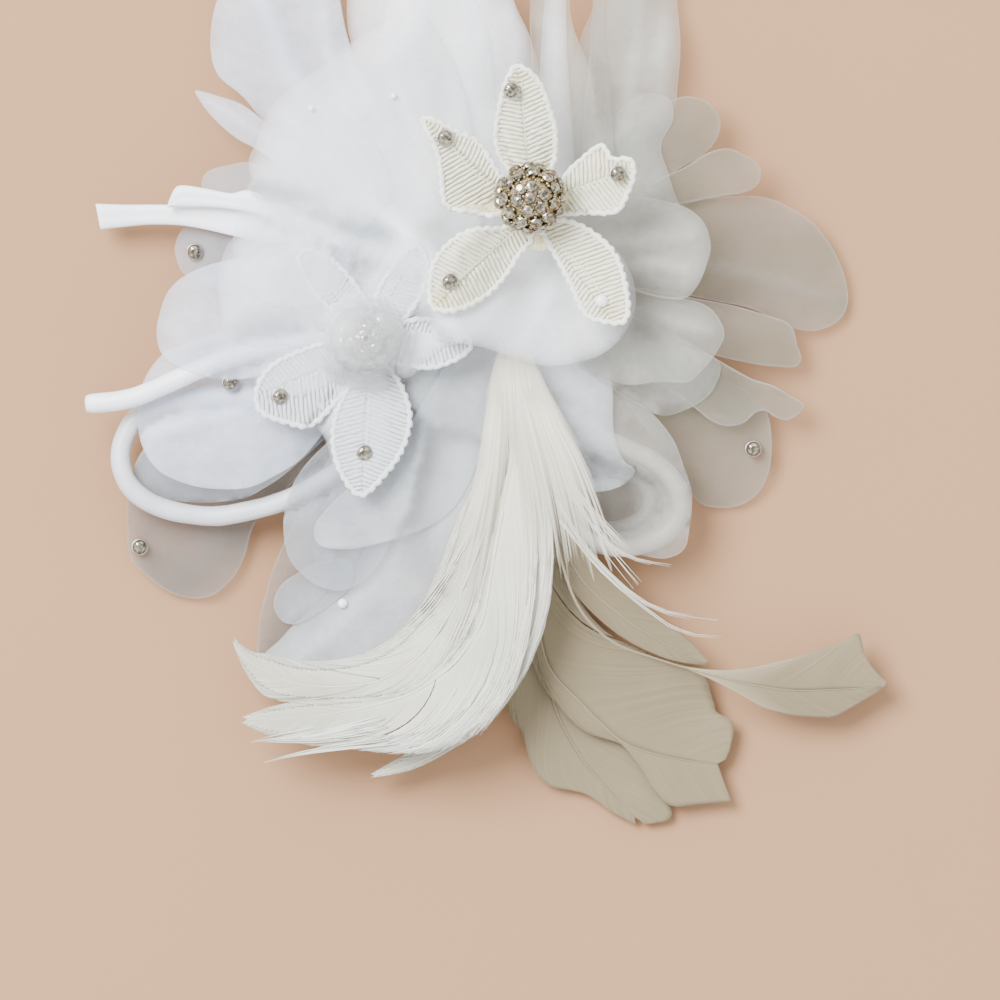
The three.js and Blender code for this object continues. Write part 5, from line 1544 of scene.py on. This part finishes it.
def set_button(node):
    """The domed setting, its stones in rings, and the claw beads between them."""
    low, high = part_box(node)
    middle = (low + high) / 2
    seat = Vector((middle.x, middle.y, low.z + BUTTON_SKIRT))
    rise = (high.z - low.z - 2 * MM) / (BUTTON_RADIUS * DOME_SHARE)
    start_piece()
    bpy.ops.mesh.primitive_uv_sphere_add(segments=40, ring_count=20, radius=BUTTON_RADIUS * DOME_SHARE)
    edit_all()
    bpy.ops.mesh.bisect(plane_co=(0, 0, 0), plane_no=UP, clear_inner=True, use_fill=True)
    bpy.ops.mesh.select_all(action="SELECT")
    bpy.ops.transform.resize(value=(1, 1, rise), center_override=(0, 0, 0))
    pick_faces(lambda normal: normal.z < -0.9)
    bpy.ops.mesh.extrude_region_move(TRANSFORM_OT_translate={"value": (0, 0, -BUTTON_SKIRT)})
    bpy.ops.mesh.select_all(action="SELECT")
    bpy.ops.transform.translate(value=seat)
    belongs(finish_piece(node + "_dome", SHADED_SETTING, 40), "setting", node)

    def on_dome(tilt, turn, lift):
        flat = Vector((math.cos(turn), math.sin(turn), 0)) * math.sin(tilt)
        outward = (flat + Vector((0, 0, math.cos(tilt) / rise))).normalized()
        out = (flat + Vector((0, 0, rise * math.cos(tilt)))) * BUTTON_RADIUS * DOME_SHARE
        return tuple(seat + out + outward * lift), tuple(outward)

    stones, claws = [], []
    for tilt, count in BUTTON_RINGS:
        for at in range(count):
            turn = BUTTON_SPIN * (1 + tilt) + 2 * math.pi * at / count + 0.05 * rng.gauss(0, 1)
            place, outward = on_dome(tilt + 0.03 * rng.gauss(0, 1), turn, (0.42 + 0.1 * rng.random()) * MM)
            stones.append((place, outward, rng.random() * 3))
            for step in range(CLAWS):
                claw_turn = turn + 2 * math.pi * (step + 0.5) / CLAWS
                away = CLAW_REACH / BUTTON_RADIUS
                claw_tilt = tilt + away * math.cos(claw_turn)
                aside = away * math.sin(claw_turn) / max(math.sin(tilt), 0.2)
                claws.append((*on_dome(claw_tilt, turn + aside, CLAW_LIFT), 0))
    stone_shape, claw_shape = Shape(), Shape()
    place_copies(stone_shape, BUTTON_STONE, stones)
    place_copies(claw_shape, CLAW, claws)
    belongs(stone_shape.piece(node + "_stones", CRYSTAL, smooth=False), "crystal")
    belongs(claw_shape.piece(node + "_claws", SHADED_SETTING), "setting")
    survey.lay_node(node)


def seat_rhinestone(name, stone_name, x, y, seat, spin, *nodes):
    """A flat-backed rhinestone and its thin metal rim, on a seat at a height."""
    stone, rim = Shape(), Shape()
    place_copies(stone, RHINESTONE, [((x, y, seat + STONE_SEAT), UP, spin)])
    place_copies(rim, RHINESTONE_RIM, [((x, y, seat + RIM_SEAT), UP, 0)])
    belongs(stone.piece(stone_name, CRYSTAL, smooth=False), "crystal", *nodes)
    belongs(rim.piece(name + "_rim", STONE_RIM), "setting")


def set_rhinestone(node):
    low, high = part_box(node)
    middle = (low + high) / 2
    seat_rhinestone(node, node + "_stone", middle.x, middle.y, low.z, rng.random(), node)
    survey.lay_node(node)

PEARLS = {"pearl_lace": ((601, 302), 1.3), "pearl_low": ((343, 603), 1.0), "pearl_left": ((312, 110), 0.6),
          "pearl_top": ((394, 98), 0.6)}
VEILED_STONE_PIXELS = {"rhinestone_veiled_left": (281, 397), "rhinestone_veiled_low": (365, 453)}


def seat_at(pixel):
    """A pixel's place and the height of what is laid there."""
    x, y = plan([pixel])[0]
    return x, y, float(survey.top()[cells_of(np.array([[x, y]]))][0])


def set_veiled_stone(name, pixel):
    seat_rhinestone(name, name, *seat_at(pixel), 0.3)


def set_pearl(name, pixel, size):
    """A flat-backed pearl of a radius in millimetres."""
    x, y, seat = seat_at(pixel)
    start_piece()
    bpy.ops.mesh.primitive_uv_sphere_add(segments=20, ring_count=12, radius=size * MM)
    edit_all()
    bpy.ops.mesh.bisect(plane_co=(0, 0, -0.4 * size * MM), plane_no=UP, clear_inner=True, use_fill=True)
    bpy.ops.mesh.select_all(action="SELECT")
    bpy.ops.transform.resize(value=(1, 1, PEARL_FLAT), center_override=(0, 0, 0))
    bpy.ops.transform.translate(value=(x, y, seat + (0.32 * size + 0.05) * MM))
    belongs(finish_piece(name, PEARL, 40), "crystal")


# Folded satin strips: a crease runs along each, and each ends in a slanted mouth

STRIPS = {
    "satin_tail_upper": {
        "upper": [(96, 204), (125, 205), (155, 205), (190, 206), (240, 210), (300, 228), (352, 256)],
        "lower": [(101, 230), (128, 227), (155, 225), (190, 227), (240, 238), (300, 252), (346, 276)]},
    "satin_fold": {
        "upper": [(169, 203), (176, 188), (185, 186), (205, 189), (232, 194), (252, 192), (300, 212),
                  (348, 238)],
        "lower": [(168, 208), (178, 208), (190, 208), (208, 208), (232, 210), (255, 214), (300, 228),
                  (344, 250)]},
}
STRIP_RINGS, STRIP_SIDES = 44, 20
STRIP_STEP = 0.5 * MM
STRIP_SINK = 0.4 * MM
STRIP_BODY, STRIP_MOUTH, MOUTH_RINGS = 0.32, 0.75, 26
CREASE_DEPTH, CREASE_PLACE, CREASE_WIDTH = 0.55, -0.12, 0.16


def fold_strip(name, made):
    solid = Surface(name, STRIP_SINK)
    shares = np.linspace(0, 1, STRIP_RINGS)
    upper = along_curve(smooth_curve(plan(made["upper"]), STRIP_STEP), shares)
    lower = along_curve(smooth_curve(plan(made["lower"]), STRIP_STEP), shares)
    points = []
    for at in range(STRIP_RINGS):
        middle = (upper[at] + lower[at]) / 2
        half = (upper[at] - lower[at]) / 2
        floor = float(solid.height(*middle))
        thick = (STRIP_BODY + STRIP_MOUTH * max(0.0, 1 - at / MOUTH_RINGS)) * MM
        for corner in range(STRIP_SIDES):
            turn = 2 * math.pi * corner / STRIP_SIDES
            across, lift = math.cos(turn), math.sin(turn)
            crease = 0
            if lift > 0:
                crease = -CREASE_DEPTH * math.exp(-((across - CREASE_PLACE) / CREASE_WIDTH) ** 2)
            points.append((*(middle + half * across), floor + 0.6 * thick + thick * lift * (1 + crease)))
    shape = Shape()
    shape.add(points, tube_faces(STRIP_RINGS, STRIP_SIDES))
    strip = belongs(shape.piece(name + "_cloth", SATIN), "satin", name)
    take_up(strip)
    edit_all()
    bpy.ops.mesh.normals_make_consistent(inside=False)
    bpy.ops.object.mode_set(mode="OBJECT")
    survey.lay_node(name)


# Base and clip

STITCHES = 64
STITCH_STEP = 0.5 * MM
STITCH_LEAN = 0.03
STITCH_DEPTH = 2.4 * MM        # how far in from the felt's edge they start
STITCH_RADIUS = 0.16 * MM


def sew_disc(name, material, slot):
    """A cut disc with a softened edge, and rings of faces for its weave."""
    low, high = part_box(name)
    radius = (high.x - low.x) / 2
    thickness = high.z - low.z
    start_piece()
    bpy.ops.mesh.primitive_cylinder_add(vertices=96, radius=radius - 0.05 * MM, depth=thickness,
                                        location=(0, 0, (low.z + high.z) / 2))
    disc = bpy.context.object
    bpy.ops.object.transform_apply(location=True)
    bpy.ops.object.mode_set(mode="EDIT")
    pick_faces(lambda normal: abs(normal.z) > 0.9)
    for share in (0.04, 0.1, 0.2, 0.3):
        bpy.ops.mesh.inset(thickness=share * radius)
    bpy.ops.object.mode_set(mode="OBJECT")
    edge = disc.modifiers.new("edge", "BEVEL")
    edge.width = 0.3 * thickness
    edge.segments = 3
    edge.limit_method = "ANGLE"
    bpy.ops.object.modifier_apply(modifier="edge")
    belongs(finish_piece(name + "_disc", material, 50), slot, name)
    survey.lay_node(name)


def sew_stitches():
    """Whip stitches that hold the felt's edge to the buckram."""
    felt_low, felt_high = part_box("felt_backing")
    buckram_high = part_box("buckram_base")[1]
    radius = (felt_high.x - felt_low.x) / 2
    outer = radius + 0.05 * MM
    stitches = Shape()
    for at in range(STITCHES):
        turn = 2 * math.pi * at / STITCHES
        corners = [(radius - STITCH_DEPTH, turn, felt_low.z - 0.05 * MM),
                   (outer, turn + STITCH_LEAN / 2, felt_low.z + 0.1 * MM),
                   (outer + 0.12 * MM, turn + STITCH_LEAN, felt_high.z),
                   (buckram_high.x - 1.2 * MM, turn + 1.6 * STITCH_LEAN, buckram_high.z + 0.1 * MM)]
        path = [(away * math.cos(angle), away * math.sin(angle), z) for away, angle, z in corners]
        stitches.strand(smooth_curve(path, STITCH_STEP), STITCH_RADIUS, sides=5)
    belongs(stitches.piece("felt_stitches", VEILED_LACE, attribute="stain"), "felt")


def finish_clip():
    for name in CLIP:
        for slot in frame["nodes"][name].material_slots:
            slot.material = STEEL


# The piece, from the clip upwards

EXTRAS_AFTER = {"petal_low_wide": ["petal_low_small"], "petal_centre_low_right": ["petal_low_front"],
                "petal_crown_top_right": ["petal_ruffle_right", "petal_ruffle_right_low", "petal_ruffle_top",
                                          "petal_ruffle_pleat", "petal_ruffle_pleat_right"],
                "petal_veil": ["petal_ruffle_left", "petal_mist"]}
SEWING_ORDER = [
    "petal_low_left", "rhinestone_1", "petal_low_back", "petal_right_low", "rhinestone_2", "petal_top_left",
    "petal_top_right", "petal_right_big", "petal_right_lobe", "petal_left_stone", "rhinestone_3",
    "petal_left_point", "petal_left_small", "petal_right_small_upper", "petal_right_small_lower",
    "petal_right_fold", "petal_low_wide", "petal_left_inner", "satin_tail_upper", "satin_fold",
    "satin_loop_left", "petal_left_low", "rhinestone_4", "petal_low_middle", "satin_tail_lower",
    "satin_loops_right", "petal_left_middle", "petal_right_veil", "petal_top_back", "petal_centre_low",
    "petal_centre_low_right", "lace_blossom_veiled", "crystal_button_veiled", "feather_ivory_low",
    "feather_ivory_wide", "feather_ivory_narrow", "feather_stripped", "feather_white_fold",
    "feather_white_left", "feather_white_low", "feather_white_main", "petal_crown_top",
    "petal_crown_top_right", "petal_crown_left", "petal_veil", "petal_inner_right_low", "petal_inner_right",
    "petal_front_low", "lace_blossom_front", "crystal_button_front", "rhinestone_5", "rhinestone_6",
    "rhinestone_7", "rhinestone_8"]


def sew_next(name):
    """Dresses one node, by what it is."""
    if name in PETALS:
        sew_petal(name, *PETALS[name])
    elif name.startswith("rhinestone"):
        set_rhinestone(name)
    elif name in STRIPS:
        fold_strip(name, STRIPS[name])
    elif name.startswith("satin_"):
        survey.lay_node(name)
    elif name in FEATHERS:
        sew_feather(name, FEATHERS[name])
    elif name == "lace_blossom_front":
        crochet(name, FRONT_PETALS, LACE, LACE_CORD, LACE_NET, True)
    elif name == "lace_blossom_veiled":
        crochet(name, VEILED_PETALS, VEILED_LACE, VEILED_CORD, VEILED_NET, False)
    elif name.startswith("crystal_button"):
        set_button(name)


finish_clip()
sew_disc("felt_backing", FELT, "felt")
sew_disc("buckram_base", BUCKRAM, "buckram")
sew_stitches()
for node_name in SEWING_ORDER:
    sew_next(node_name)
    if node_name == "lace_blossom_veiled":
        for stone, stone_pixel in VEILED_STONE_PIXELS.items():
            set_veiled_stone(stone, stone_pixel)
    for extra in EXTRAS_AFTER.get(node_name, []):
        sew_petal(extra, *PETALS[extra])
for pearl_name, (pearl_pixel, pearl_size) in PEARLS.items():
    set_pearl(pearl_name, pearl_pixel, pearl_size)


# Table, light and room

LAMP_POWER = 78
LAMP_PLACE, LAMP_AIM = (-0.75, 0.62, 1.3), (0.01, -0.02, 0)
ROOM_LIGHT = 2.9
SHEER_LAYERS = 64              # as many layers of sheer cloth as light is followed through


def set_table():
    start_piece()
    bpy.ops.mesh.primitive_plane_add(size=4, location=(0, 0, 0))
    table = bpy.context.object
    table.name = "table"
    made = Finish("table", Roughness=0.9, Specular_IOR_Level=0.1)
    grain = made.cloudy(40, 2, 0.5)
    table.data.materials.append(
        made.set(Base_Color=made.blend(grain, (0.368, 0.212, 0.119), (0.378, 0.219, 0.123))))


def set_lamp():
    lamp = bpy.data.lights.new("window", "AREA")
    lamp.shape = "DISK"
    lamp.size = 1.0
    lamp.energy = LAMP_POWER
    lamp.color = (0.98, 0.99, 1.0)
    held = bpy.data.objects.new("window", lamp)
    held.location = LAMP_PLACE
    held.rotation_euler = (Vector(LAMP_AIM) - held.location).to_track_quat("-Z", "Y").to_euler()
    bpy.context.scene.collection.objects.link(held)


def set_room():
    """Soft light from all round, a little brighter here and there for the stones to show."""
    world = bpy.data.worlds.new("room")
    bpy.context.scene.world = world
    room = Nodes(world)
    patches = room.cloudy(1.6, 1.0, 0.5, room.node("ShaderNodeTexCoord", output="Generated"))
    stops = [(0.35, (0.35, 0.36, 0.38)), (0.65, (1.0, 1.0, 1.0))]
    background = room.tree.nodes["Background"].inputs
    room.feed(background["Color"], room.node("ShaderNodeValToRGB", {"stops": stops}, {0: patches}))
    room.feed(background["Strength"], ROOM_LIGHT)


set_table()
set_lamp()
set_room()
bpy.context.scene.cycles.transparent_max_bounces = SHEER_LAYERS
